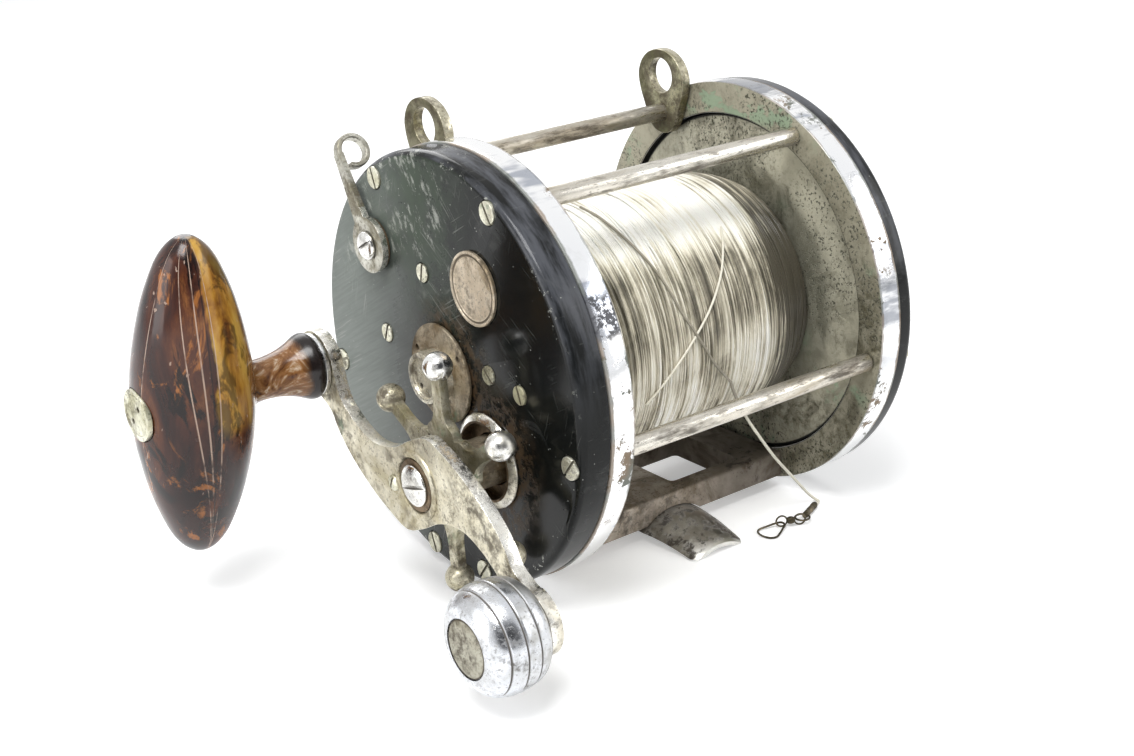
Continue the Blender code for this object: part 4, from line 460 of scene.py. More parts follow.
def tortoise():
    """The grip: dark red-brown, marbled lengthwise, with an amber side, under a polish."""
    made, t, shader = surface("tortoiseshell")
    lean = (-0.187, 0, 0)
    node = t.add("ShaderNodeSeparateXYZ")
    t.put(node.inputs[0], t.coords())
    x, y, z = node.outputs
    high = t.math("SUBTRACT", z, 0.0614)
    across = t.math("ADD", t.math("SUBTRACT", y, 0.0378), t.math("MULTIPLY", high, 0.19))
    east = t.math("ADD", x, 0.08305)
    angle = t.math("MULTIPLY", t.math("ARCTAN2", east, t.math("MULTIPLY", across, -1.0)), 57.3)
    long = t.noise((85, 85, 22), 7, 0.66, lean, 2.0, 0.9)
    colour = t.ramp(long, ((0.33, (0.008, 0.005, 0.005)), (0.43, (0.030, 0.011, 0.008)),
                           (0.52, (0.054, 0.017, 0.010)), (0.60, (0.095, 0.030, 0.012)),
                           (0.70, (0.250, 0.095, 0.028))))
    grain = t.step(t.noise((420, 420, 26), 4, 0.6, lean, 12.0), 0.30, 0.72, (0.0, 0.45))
    colour = t.mix(grain, colour, (0.030, 0.010, 0.008))
    flame = t.step(t.noise((110, 110, 34), 6, 0.68, lean, 21.0, 1.6), 0.555, 0.64)
    colour = t.mix(t.math("MULTIPLY", flame, 0.75), colour, (0.36, 0.13, 0.030))
    black = t.step(t.noise((85, 85, 34), 5, 0.66, lean, 8.0, 0.9), 0.535, 0.60)
    colour = t.mix(t.math("MULTIPLY", black, 0.95), colour, (0.006, 0.004, 0.004))
    sway = t.math("MULTIPLY", t.math("SUBTRACT", t.noise((70, 70, 40), 4, 0.6, seed=6), 0.5), 30)
    swayed = t.math("ADD", angle, sway)
    streak = t.math("MULTIPLY", t.step(swayed, -4, 1), t.step(swayed, 88, 70))
    streak = t.math("MULTIPLY", streak, t.step(t.math("ADD", high, t.math("MULTIPLY", sway, 0.0002)), -0.009, -0.003))
    streak = t.math("MULTIPLY", streak, t.math("SUBTRACT", 1.0, t.math("MULTIPLY", black, 0.7)))
    amber_side = t.ramp(t.noise((130, 130, 34), 5, 0.6, lean, 9.0, 0.6),
                        ((0.34, (0.16, 0.060, 0.012)), (0.46, (0.42, 0.20, 0.030)), (0.60, (0.60, 0.36, 0.070))))
    colour = t.mix(t.math("MULTIPLY", streak, 0.95), colour, amber_side)
    neck = t.step(x, -0.0745, -0.0700)
    amber = t.ramp(t.noise((110, 140, 140), 6, 0.62, (0.3, 0.2, 0), 5.0, 2.4),
                   ((0.32, (0.045, 0.014, 0.006)), (0.44, (0.16, 0.065, 0.020)), (0.54, (0.27, 0.125, 0.045)),
                    (0.60, (0.40, 0.27, 0.16)), (0.66, (0.62, 0.50, 0.40))))
    colour = t.mix(neck, colour, amber)
    tail = t.step(t.math("ADD", x, t.math("MULTIPLY", t.noise(120, 3, seed=31), 0.003)), -0.0530, -0.0505)
    colour = t.mix(tail, colour, (0.012, 0.008, 0.007))
    lines = 0.0
    for place, lean_by, half in ((-23.4, -420, 0.6), (-12.6, -180, 0.75), (-0.5, 40, 0.6), (-80.0, 200, 0.5)):
        drift = t.math("SUBTRACT", t.math("SUBTRACT", angle, place), t.math("MULTIPLY", high, lean_by))
        off = t.math("ABSOLUTE", drift)
        lines = t.math("MAXIMUM", lines, t.step(off, half + 0.4, half - 0.3))
    lines = t.math("MULTIPLY", lines, t.step(t.noise((40, 40, 70), 4, 0.65, seed=12), 0.40, 0.54))
    nicks = t.step(t.noise((900, 110, 500), 2, 0.5, (0.9, 0, 0), 15.0), 0.70, 0.74)
    lines = t.math("MAXIMUM", lines, t.math("MULTIPLY", nicks, 0.7))
    lines = t.math("MULTIPLY", lines, t.math("SUBTRACT", 1.0, neck))
    colour = t.mix(t.math("MULTIPLY", lines, 0.8), colour, (0.50, 0.36, 0.28))
    dark_line = t.step(t.math("ABSOLUTE", t.math("ADD", angle, 6.5)), 1.4, 0.5)
    colour = t.mix(t.math("MULTIPLY", t.math("MULTIPLY", dark_line, t.math("SUBTRACT", 1.0, neck)), 0.7), colour,
                   (0.010, 0.005, 0.004))
    t.put(shader.inputs["Base Color"], colour)
    shader.inputs["IOR"].default_value = 1.5
    shader.inputs["Specular IOR Level"].default_value = 0.38
    t.put(shader.inputs["Roughness"], t.step(t.noise(110, 4, seed=1), 0.3, 0.75, (0.10, 0.30)))
    bumped(t, shader, t.math("SUBTRACT", t.noise((120, 120, 50), 3, 0.5, lean, 14), t.math("MULTIPLY", lines, 0.5)),
           0.00014)
    return made


def line_look(name, strand_scale, dark_start):
    """Cream line: each turn its own tone, with painted shade in front and a painted highlight on top, dark near the
    tail flange.
    """
    made, t, shader = surface(name)
    w, v, u = t.axis("w"), t.axis("v"), t.axis("u")
    strand = t.noise((strand_scale, 16, 16), 3, 0.72, seed=2)
    patch = t.noise((100, 42, 42), 6, 0.68, seed=5, twist=0.5)
    tone = t.math("ADD", t.math("MULTIPLY", strand, 0.56), t.math("MULTIPLY", patch, 0.44))
    # Darker mid zone facing the front: painted shade.
    front = t.math("MULTIPLY", t.math("MULTIPLY", t.step(v, 30, 20), t.step(v, -4, 8)), t.step(u, 5, 20))
    tone = t.math("ADD", tone, t.math("MULTIPLY", front, -0.075))
    # Lighter towards the top of the pack: painted highlight.
    tone = t.math("ADD", tone, t.step(v, 20, 32, (0.004, 0.105)))
    place = t.math("ADD", w, t.math("MULTIPLY", strand, 14))
    tone = t.math("SUBTRACT", tone, t.step(place, dark_start + 14, dark_start + 4, (0.0, 0.065)))
    tone = t.math("SUBTRACT", tone, t.step(place, dark_start + 5, dark_start - 1, (0.0, 0.17)))
    colour = t.ramp(tone, ((0.34, (0.075, 0.066, 0.046)), (0.41, (0.26, 0.235, 0.175)),
                           (0.465, (0.54, 0.495, 0.385)), (0.52, (0.80, 0.76, 0.64)), (0.60, (0.94, 0.925, 0.87))))
    t.put(shader.inputs["Base Color"], colour)
    shader.inputs["Roughness"].default_value = 0.32
    shader.inputs["IOR"].default_value = 1.5
    bumped(t, shader, t.noise((2600, 200, 200), 2, seed=8), 0.00004)
    return made


def matte(name, colours, scale, rough):
    made, t, shader = surface(name)
    t.put(shader.inputs["Base Color"], t.mix(t.noise(scale, 4), *colours))
    shader.inputs["Roughness"].default_value = rough
    bumped(t, shader, t.noise(scale * 3, 3), 0.00005)
    return made


foot_look = foot_metal()
# The pair of radii in each call is the band of painted shade at the gap between spool and ring.
flange_look = crusted("spool_nickel", (0.46, 0.44, 0.345), (0.135, 0.125, 0.085), 31, (49.6, 50.1), False)
ring_inside = crusted("ring_inside", (0.34, 0.32, 0.245), (0.11, 0.10, 0.062), 37, (51.35, 51.05), True)
head_chrome = ring_chrome("head_ring_chrome", 7.3, 0)
tail_chrome = ring_chrome("tail_ring_chrome", -94.1, -86.8)
head_black = ebonite("head_ebonite", 1.0, 1.0)
tail_black = ebonite("tail_ebonite", 40.0, 0.25)
shell = tortoise()
core_line = line_look("line_pack", 1500, -67)
strand_line = line_look("line_strands", 1100, -68)


def cord_look():
    """The free line: painted shade above the low pillar, cream below it."""
    made, t, shader = surface("line_cord")
    # Darker above the low pillar: painted shade on the line.
    shade = t.step(t.axis("v"), -28, -20)
    clean = t.mix(t.noise(300, 4), (0.66, 0.62, 0.50), (0.84, 0.81, 0.70))
    painted_shade_colour = t.mix(t.noise(300, 4), (0.22, 0.195, 0.15), (0.36, 0.33, 0.26))
    t.put(shader.inputs["Base Color"], t.mix(shade, clean, painted_shade_colour))
    shader.inputs["Roughness"].default_value = 0.32
    return made


shaded_look = matte("line_shaded", ((0.22, 0.195, 0.15), (0.36, 0.33, 0.26)), 300, 0.35)
free_look = matte("line_free", ((0.66, 0.62, 0.50), (0.84, 0.81, 0.70)), 300, 0.32)
fibre_look = matte("drag_fibre", ((0.16, 0.08, 0.045), (0.28, 0.15, 0.08)), 500, 0.85)


# Building pieces
def show(name, bm, body, look, replaced=(), smooth=32, matrix=None, looks=()):
    """A finished piece: its bmesh in reel millimetres becomes an object that rides on a body."""
    mesh = bpy.data.meshes.new(name)
    bm.to_mesh(mesh)
    bm.free()
    if matrix is not None:
        mesh.transform(matrix)
    mesh.transform(REEL)
    mesh.shade_smooth()
    mesh.set_sharp_from_angle(angle=math.radians(smooth))
    obj = bpy.data.objects.new(name, mesh)
    scene.collection.objects.link(obj)
    for item in (look, *looks):
        mesh.materials.append(item)
    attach(obj, body)
    if replaced:
        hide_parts(*replaced)
    return obj


def edged(obj, limit, wanted=None):
    """The second look on faces that turn away from the spool's axis, or where wanted says so."""
    for face in obj.data.polygons:
        if abs(face.normal.x) < limit and (wanted is None or wanted(face.center)):
            face.material_index = 1


def from_axis(place, centre):
    """Distance in millimetres of a row frame place from an axis along w."""
    return math.hypot(place.y * -1000 + 9.987 - centre[0], place.z * 1000 - 60 - centre[1])


def lathe(bm, profile, centre=(0, 0), steps=96, closed=False, matrix=None):
    """Turns a profile (radius, w) about an axis along w. A closed profile gives a ring."""
    rows = []
    made = []
    for radius, level in profile:
        count = 1 if radius < 1e-6 else steps
        row = [bm.verts.new((centre[0] + radius * math.cos(TURN * i / steps),
                             centre[1] + radius * math.sin(TURN * i / steps), level))
               for i in range(count)]
        rows.append(row)
        made += row
    pairs = list(zip(rows, rows[1:]))
    if closed:
        pairs.append((rows[-1], rows[0]))
    faces = []
    for a, b in pairs:
        for i in range(steps):
            j = (i + 1) % steps
            if len(a) == 1 and len(b) == 1:
                continue
            if len(a) == 1:
                faces.append(bm.faces.new((a[0], b[j], b[i])))
            elif len(b) == 1:
                faces.append(bm.faces.new((a[i], a[j], b[0])))
            else:
                faces.append(bm.faces.new((a[i], a[j], b[j], b[i])))
    if matrix is not None:
        bmesh.ops.transform(bm, matrix=matrix, verts=made)
    bmesh.ops.recalc_face_normals(bm, faces=faces)
    return faces


def eased(profile, radius, closed=False, parts=3):
    """The same profile with its corners rounded."""
    points = [Vector(p) for p in profile]
    count = len(points)
    result = []
    for i, point in enumerate(points):
        if not closed and i in (0, count - 1):
            result.append(tuple(point))
            continue
        before, after = points[i - 1], points[(i + 1) % count]
        back, on = before - point, after - point
        cut = min(radius, back.length * 0.45, on.length * 0.45)
        if back.length < 1e-6 or on.length < 1e-6 or back.angle(on) > math.radians(160):
            result.append(tuple(point))
            continue
        a, b = point + back.normalized() * cut, point + on.normalized() * cut
        for k in range(parts + 1):
            s = k / parts
            result.append(tuple((1 - s) ** 2 * a + 2 * s * (1 - s) * point + s * s * b))
    return result


def curved(points, count, closed=False):
    """Catmull-Rom points through the given ones, count to a span."""
    way = [Vector(p) for p in points]
    if closed:
        ends = [way[-1]] + way + [way[0], way[1]]
    else:
        ends = [2 * way[0] - way[1]] + way + [2 * way[-1] - way[-2]]
    route = []
    for before, a, b, after in zip(ends, ends[1:], ends[2:], ends[3:]):
        for i in range(count):
            t = i / count
            route.append(0.5 * (2 * a + (b - before) * t + (2 * before - 5 * a + 4 * b - after) * t * t
                                + (3 * a - before - 3 * b + after) * t * t * t))
    if not closed:
        route.append(way[-1])
    return route


def round_points(radius, count, centre=(0, 0), start=0.0):
    return [(centre[0] + radius * math.cos(start + TURN * i / count),
             centre[1] + radius * math.sin(start + TURN * i / count)) for i in range(count)]


def plate(outline, holes, low, high, bevel=0.0, segments=3):
    """A bmesh of a flat piece between two levels, with rounded edges."""
    curve = bpy.data.curves.new("plate", "CURVE")
    curve.dimensions = "2D"
    curve.fill_mode = "BOTH"
    curve.extrude = (high - low) / 2
    for ring in (outline, *holes):
        spline = curve.splines.new("POLY")
        spline.points.add(len(ring) - 1)
        spline.use_cyclic_u = True
        for point, place in zip(spline.points, ring):
            point.co = (place[0], place[1], 0, 1)
    holder = bpy.data.objects.new("plate", curve)
    scene.collection.objects.link(holder)
    mesh = bpy.data.meshes.new_from_object(holder.evaluated_get(bpy.context.evaluated_depsgraph_get()))
    bpy.data.objects.remove(holder)
    bm = bmesh.new()
    bm.from_mesh(mesh)
    bmesh.ops.remove_doubles(bm, verts=bm.verts, dist=1e-5)
    bmesh.ops.dissolve_limit(bm, angle_limit=math.radians(1), verts=bm.verts, edges=bm.edges)
    bmesh.ops.translate(bm, vec=(0, 0, (low + high) / 2), verts=bm.verts)
    bmesh.ops.recalc_face_normals(bm, faces=bm.faces)
    if bevel:
        rim = [e for e in bm.edges if len(e.link_faces) == 2
               and e.link_faces[0].normal.angle(e.link_faces[1].normal) > math.radians(60)]
        bmesh.ops.bevel(bm, geom=rim, offset=bevel, offset_type="OFFSET", segments=segments,
                        profile=0.5, affect="EDGES", clamp_overlap=True)
    bmesh.ops.triangulate(bm, faces=[f for f in bm.faces if len(f.verts) > 4])
    return bm


def block(low, high, bevel=0.0, segments=2, matrix=None):
    bm = bmesh.new()
    size = [b - a for a, b in zip(low, high)]
    middle = [(a + b) / 2 for a, b in zip(low, high)]
    bmesh.ops.create_cube(bm, size=1, matrix=Matrix.Translation(middle) @ Matrix.Diagonal((*size, 1)))
    if bevel:
        bmesh.ops.bevel(bm, geom=list(bm.edges), offset=bevel, segments=segments, profile=0.5,
                        affect="EDGES", clamp_overlap=True)
    if matrix is not None:
        bmesh.ops.transform(bm, matrix=matrix, verts=bm.verts)
    return bm


def carved(bm, cutters, operation="DIFFERENCE"):
    """The first bmesh with the others cut out of it or joined to it."""
    objects = []
    for index, item in enumerate([bm, *cutters]):
        mesh = bpy.data.meshes.new(f"carve_{index}")
        item.to_mesh(mesh)
        item.free()
        obj = bpy.data.objects.new(f"carve_{index}", mesh)
        scene.collection.objects.link(obj)
        objects.append(obj)
    for other in objects[1:]:
        change = objects[0].modifiers.new("carve", "BOOLEAN")
        change.operation = operation
        change.object = other
        change.solver = "EXACT"
    graph = bpy.context.evaluated_depsgraph_get()
    mesh = bpy.data.meshes.new_from_object(objects[0].evaluated_get(graph))
    for obj in objects:
        bpy.data.objects.remove(obj)
    result = bmesh.new()
    result.from_mesh(mesh)
    return result


def turned(profile, centre=(0, 0), steps=96, closed=False, ease=0.0, matrix=None):
    bm = bmesh.new()
    lathe(bm, eased(profile, ease, closed) if ease else profile, centre, steps, closed, matrix)
    return bm


def added(*items):
    """One bmesh of several."""
    result = bmesh.new()
    for item in items:
        mesh = bpy.data.meshes.new("part")
        item.to_mesh(mesh)
        item.free()
        result.from_mesh(mesh)
        bpy.data.meshes.remove(mesh)
    return result


def tube(points, radius, sides=10, closed=False, caps=True):
    """A round tube along points; radius is a number or one for each point."""
    bm = bmesh.new()
    way = [Vector(p) for p in points]
    count = len(way)
    sizes = radius if isinstance(radius, (list, tuple)) else [radius] * count
    rows = []
    normal = None
    for i, place in enumerate(way):
        ahead = way[(i + 1) % count] if closed else way[min(i + 1, count - 1)]
        behind = way[i - 1] if closed else way[max(i - 1, 0)]
        along = (ahead - behind).normalized()
        if normal is None:
            normal = along.orthogonal().normalized()
        normal = (normal - along * normal.dot(along)).normalized()
        side = along.cross(normal)
        rows.append([bm.verts.new(place + sizes[i] * (normal * math.cos(TURN * k / sides)
                                                      + side * math.sin(TURN * k / sides)))
                     for k in range(sides)])
    pairs = list(zip(rows, rows[1:]))
    if closed:
        first, last = rows[0], rows[-1]
        shift = min(range(sides), key=lambda s: (first[s].co - last[0].co).length)
        pairs.append((last, first[shift:] + first[:shift]))
    for a, b in pairs:
        for k in range(sides):
            m = (k + 1) % sides
            bm.faces.new((a[k], a[m], b[m], b[k]))
    if caps and not closed:
        bm.faces.new(rows[0][::-1])
        bm.faces.new(rows[-1])
    bmesh.ops.recalc_face_normals(bm, faces=bm.faces)
    return bm


def slotted(radius, seat, crown, centre, angle, outwards=1, dome=0.0, width=0.8, depth=0.7, ease=0.35,
            steps=40):
    """A screw's head with its slot, flat or domed."""
    if dome:
        rim = [(radius, seat)]
        for k in range(9):
            a = math.pi / 2 * k / 8
            rim.append((radius * math.cos(a * 0.999), seat + (crown - seat) * (0.12 + 0.88 * math.sin(a))))
        profile = rim[:-1] + [(0, crown)]
        profile = [(0, seat)] + profile
        head = turned(profile, centre, steps)
    else:
        head = turned([(0, seat), (radius, seat), (radius, crown), (0, crown)], centre, steps, False, ease)
    turn = Matrix.Translation((*centre, 0)) @ Matrix.Rotation(angle, 4, "Z")
    low, high = sorted((crown - outwards * depth, crown + outwards * 2))
    slot = block((-radius - 2, -width / 2, low), (radius + 2, width / 2, high), matrix=turn)
    return carved(head, [slot])


# Rings and plates
def ring(name, low, high, look, inner_level):
    profile = [(50.9, low), (60.0, low), (60.0, high), (50.9, high)]
    bm = turned(profile, steps=192, closed=True, ease=0.35)
    obj = show(name + "_fine", bm, "frame", look, (name,), looks=(ring_inside,))
    plane = -inner_level * 0.001 - 0.00705
    for face in obj.data.polygons:
        flat = abs(face.center.x - plane) < 0.00002 and abs(face.normal.x) > 0.9
        bore = face.center.yz.to_3d().length and abs(face.normal.x) < 0.5 and (
            Vector((face.center.y - 0.009987, face.center.z - 0.06)).length < 0.0515)
        face.material_index = 1 if flat or bore else 0
    return obj


ring("head_ring", 0.0, 7.3, head_chrome, 0.0)
ring("tail_ring", -94.1, -86.8, tail_chrome, -86.8)


def cup(face, back, inner, outwards):
    rim = 59.6
    profile = [(0, face), (rim - 2.2, face)]
    for k in range(1, 9):
        a = math.pi / 2 * k / 8
        profile.append((rim - 2.2 + 2.2 * math.sin(a), face - outwards * 2.2 * (1 - math.cos(a))))
    profile += [(rim, back), (50.0, back), (50.0, inner), (0, inner)]
    return profile


PILLARS = {name: (55.4 * math.cos(math.radians(a)), 55.4 * math.sin(math.radians(a)))
           for name, a in (("pillar_top_front", 61.7), ("pillar_top_rear", 118.9),
                           ("pillar_low_front", -11.0), ("pillar_low_rear", 191.0))}
STAND_SCREWS = [(12.2, -54.4), (-12.2, -54.4)]
BRIDGE_SCREWS = {"yoke_high": (-6.3, 26.3), "yoke_low": (-27.4, 4.4), "dog_rest": (21.5, 4.9),
                 "dog_pivot": (35.0, 3.2)}
wells = [turned([(0, 15.2), (3.35, 15.2), (3.35, 18), (0, 18)], p, 40)
         for p in [*PILLARS.values(), *STAND_SCREWS]]
wells += [turned([(0, 15.2), (2.85, 15.2), (2.85, 18), (0, 18)], p, 40) for p in BRIDGE_SCREWS.values()]
wells.append(turned([(0, 10), (11.8, 10), (11.8, 18), (0, 18)], CRANK, 64))
show("head_plate_fine", carved(turned(cup(HEAD_FACE, 7.6, 14.2, 1), steps=192), wells), "frame",
     head_black, ("head_plate",))
tail_wells = [turned([(0, -98.2), (3.35, -98.2), (3.35, -101), (0, -101)], p, 40)
              for p in [*PILLARS.values(), *STAND_SCREWS]]
slot_turn = Matrix.Rotation(math.radians(140), 4, "Z")
tail_wells.append(block((23.3, -1.7, -102), (31.7, 1.7, -96), matrix=slot_turn))
show("tail_plate_fine", carved(turned(cup(TAIL_FACE, -94.4, -97.2, -1), steps=192), tail_wells), "frame",
     tail_black, ("tail_plate",))


# Pillars with their screws, and the screws of the bridge and the stand
SLOTS = {"pillar_top_front": 2.1, "pillar_top_rear": 1.9, "pillar_low_front": 0.9, "pillar_low_rear": 0.4}
for name, place in PILLARS.items():
    rod = turned([(0, -86.5), (2.55, -86.5), (2.55, -0.3), (0, -0.3)], place, 40, False, 0.3)
    head = slotted(3.1, 15.3, 17.1, place, SLOTS[name])
    tail = slotted(3.1, -98.3, -100.1, place, 0.7, -1)
    show(name + "_fine", added(rod), "frame", pillar_nickel, (name,))
    show(name + "_screws", added(head, tail), "frame", screw_look)
small = [slotted(2.6, 15.3, 17.1, place, angle, width=0.75)
         for place, angle in zip(BRIDGE_SCREWS.values(), (1.35, 1.2, 2.4, 1.9))]
show("bridge_screws", added(*small), "frame", screw_look)


def bridge():
    """The bridge plate of the model, with its posts ending under the fine screws' heads."""
    bm = bmesh.new()
    bm.from_mesh(nodes["bridge_plate"].data)
    bmesh.ops.bisect_plane(bm, geom=[*bm.verts, *bm.edges, *bm.faces], plane_co=REEL @ Vector((0, 0, 15.3)),
                           plane_no=(-1, 0, 0), clear_outer=True)
    bmesh.ops.holes_fill(bm, edges=[e for e in bm.edges if e.is_boundary])
    bmesh.ops.transform(bm, matrix=REEL.inverted(), verts=bm.verts)
    show("bridge_plate_fine", bm, "frame", brass_look, ("bridge_plate",), 30)


bridge()
stand_heads = [slotted(3.1, 15.3, 17.1, place, 0.9 + i) for i, place in enumerate(STAND_SCREWS)]
stand_heads += [slotted(3.1, -98.3, -100.1, place, 0.4 + i, -1) for i, place in enumerate(STAND_SCREWS)]
show("stand_screws", added(*stand_heads), "frame", screw_look)


# Harness lugs
half_lug = [(0, 18.6), (3.23, 18.14), (6.26, 16.74), (8.79, 14.14), (10.1, 10.42), (9.49, 6.14),
            (7.68, 1.49), (5.86, -2.98), (3.43, -5.58), (0, -6.4)]
lug_rim = half_lug + [(-x, y) for x, y in half_lug[-2:0:-1]]
top_rear = PILLARS["pillar_top_rear"]
for name, low in (("harness_lug_head", -3.3), ("harness_lug_tail", -86.5)):
    rim = [(p.x + top_rear[0], p.y + top_rear[1]) for p in curved([(*q, 0) for q in lug_rim], 5, True)]
    eye = round_points(5.2, 48, (top_rear[0], top_rear[1] + 10.9))
    bm = plate(rim, [eye], low, low + 3.0, 0.55, 3)
    edged(show(name + "_fine", bm, "frame", lug_look, (name,), looks=(olive,)), 0.85)


# Stand and foot
body_block = block((-20, -56, -86.5), (20, -48, -0.3), 0.8, 3)
window = block((-14, -60, -73.5), (14, -40, -48.5), 1.6, 3)
bed = turned([(0, -30), (15.8, -30), (15.8, 30), (0, 30)], steps=96,
             matrix=Matrix.Translation((0, -52.5 - 15.5, -44)) @ Matrix.Rotation(math.pi / 2, 4, "Y"))
show("stand_frame_fine", carved(body_block, [window, bed]), "frame", stand_look,
     ("stand_frame",))


def saddle():
    bm = bmesh.new()
    rows = []
    count, facets = 41, 30
    for row in range(count):
        along = 39.5 * (2 * row / (count - 1) - 1)
        past = max(0, (abs(along) - 20) / 19.5)
        tip = max(0, (abs(along) - 37.9) / 1.6)
        half = 11.2 + (9.2 - 11.2) * past - 0.9 * tip * tip
        outer = math.asin(half / 15.5)
        drop = 15.5 * math.cos(outer)
        inner = math.acos(min(1, drop / 13.9))
        full = math.asin((11.2 + (9.2 - 11.2) * past) / 15.5)
        tip_top = 15.5 - 15.5 * math.cos(full) - 60
        middle = -52.5 + (tip_top + 52.5) * past ** 1.15 - 15.5
        thin = 0.35 * tip * tip
        section = []
        for radius, angle in ((15.5 - thin, outer), (13.9 + thin * 0.4, -inner)):
            for i in range(facets + 1):
                turn = angle * (2 * i / facets - 1)
                section.append(bm.verts.new((along, middle + radius * math.cos(turn),
                                             -44 + radius * math.sin(turn))))
        rows.append(section)
    for low, high in zip(rows, rows[1:]):
        for i in range(len(low)):
            bm.faces.new((low[i - 1], low[i], high[i], high[i - 1]))
    for section in (rows[0], rows[-1]):
        for i in range(facets):
            bm.faces.new((section[i], section[i + 1], section[-2 - i], section[-1 - i]))
    bmesh.ops.recalc_face_normals(bm, faces=bm.faces)
    return bm


show("reel_foot_fine", saddle(), "frame", foot_look, ("reel_foot",), smooth=50)


# Medallion: a plain field in a raised rim
badge = [(0, 17.25), (8.2, 17.25), (8.45, 17.5), (8.7, 17.25), (8.95, 17.25), (9.2, 17.68), (9.7, 17.7),
         (9.9, 17.5), (9.9, 16.7)]
show("medallion_fine", turned([(0, 16.9)] + [(r, w) for r, w in badge[::-1]], (18.1, 27.5), 96, False, 0.1),
     "frame", badge_look, ("medallion",))

# Spool cap
top = 16.9 + 6.5
cap_profile = [(0, top - 0.9), (5.6, top - 0.9), (5.6, top), (7.0, top), (7.0, 18.0), (13.7, 18.0),
               (13.7, 16.9), (0, 16.9)]
holes = [turned([(0, 17.3), (0.9, 17.3), (0.9, 19), (0, 19)], (11.3 * math.cos(a), 11.3 * math.sin(a)), 24)
         for a in (0.6 + TURN * i / 3 for i in range(3))]
holes += [turned([(0, top - 1.8), (0.8, top - 1.8), (0.8, top), (0, top)],
                 (3.5 * math.cos(a), 3.5 * math.sin(a)), 24) for a in (0.9, 0.9 + math.pi)]
cap = show("spool_cap_fine", carved(turned(cap_profile, steps=96, ease=0.35), holes), "frame", rusty,
           ("spool_cap",), smooth=40, looks=(boss_look,))
edged(cap, 2, lambda place: from_axis(place, (0, 0)) < 7.2 and -place.x * 1000 - 7.05 > 18.6)

# Tail cap and click button
end = -99.3 - 6.2
show("tail_cap_fine", turned([(0, -99.3), (12.0, -99.3), (12.0, -100.7), (8.0, -100.7), (8.0, end),
                              (3.0, end), (2.6, end + 0.5), (0, end + 0.5)], steps=96, ease=0.4), "frame",
     nickel, ("tail_cap",), smooth=40)
click_at = (30 * math.cos(math.radians(140)), 30 * math.sin(math.radians(140)))
show("click_button_fine", turned([(0, -99.9), (4.0, -99.9), (4.0, -102.0), (3.2, -102.9), (1.5, -102.5),
                                  (0, -102.4)], click_at, 48, False, 0.25), "click", nickel,
     ("click_button",))

# Crank bushing
flange = 16.9
collar = [(10.9, flange + 1.8), (12.6, flange + 1.0), (13.1, flange + 0.5), (13.1, flange),
          (11.5, flange), (11.5, 14.6), (7.1, 14.6), (7.1, 15.6), (10.4, 15.6), (10.4, flange + 1.8)]
bushing = show("crank_bushing_fine", turned(collar, CRANK, 96, True, 0.3), "frame", rust_dark,
               ("crank_bushing",), smooth=40, looks=(edge_nickel,))
edged(bushing, 2, lambda place: from_axis(place, CRANK) > 11.3)


# Free spool lever
def lever():
    eye, neck, tip, length = 7.7, 5.6, 2.8, 26.2
    open_angle = math.asin(neck / 2 / eye)
    rim = [(eye * math.cos(a), eye * math.sin(a))
           for a in (open_angle + (TURN - 2 * open_angle) * i / 44 for i in range(45))]
    side = curved([(eye * math.cos(open_angle), neck / 2, 0), (11.0, 2.35, 0), (16.0, 1.9, 0),
                   (21.0, 1.6, 0), (length, tip / 2, 0)], 5)
    low_side = [(p.x, -p.y) for p in side[1:]]
    high_side = [(p.x, p.y) for p in side[::-1][:-1]]
    bar = plate(rim + low_side + high_side, [round_points(2.3, 24)], 17.8, 19.6, 0.45, 3)
    strip = bmesh.new()
    rows = []
    centre = (length, 18.7 - 4.2)
    arc = [math.pi / 2 - math.radians(300) * i / 60 for i in range(61)]
    sections = [((-2.8, 4.2), (0, 1))] + [((4.2 * math.cos(a), 4.2 * math.sin(a)),
                                          (math.cos(a), math.sin(a))) for a in arc]
    shape = [(0.7, -1.25), (0.7, 1.25), (0.35, 1.6), (-0.35, 1.6), (-0.7, 1.25), (-0.7, -1.25),
             (-0.35, -1.6), (0.35, -1.6)]
    for (x, z), (nx, nz) in sections:
        rows.append([strip.verts.new((centre[0] + x + s * nx, t, centre[1] + z + s * nz)) for s, t in shape])
    for a, b in zip(rows, rows[1:]):
        for i in range(len(shape)):
            strip.faces.new((a[i], a[i - 1], b[i - 1], b[i]))
    strip.faces.new(rows[0])
    strip.faces.new(rows[-1][::-1])
    bmesh.ops.recalc_face_normals(strip, faces=strip.faces)
    both = added(bar, strip)
    place = Matrix.Translation((*LEVER, 0)) @ Matrix.Rotation(math.radians(118.3), 4, "Z")
    edged(show("free_spool_lever_fine", both, "lever", lever_look, ("free_spool_lever",), 40,
               place, (edge_nickel,)), 0.7, lambda spot: from_axis(spot, LEVER) < 12)


lever()
show("lever_washer_fine", turned([(2.3, 16.9), (7.2, 16.9), (7.2, 17.5), (2.3, 17.5)], LEVER, 64, True, 0.2),
     "frame", rust_dark, ("lever_washer",))
show("lever_screw_fine", slotted(4.0, 19.9, 21.6, LEVER, math.radians(30), dome=1.7, width=0.95, depth=1.0,
                                 steps=56), "lever", ball_chrome, ("lever_screw",))


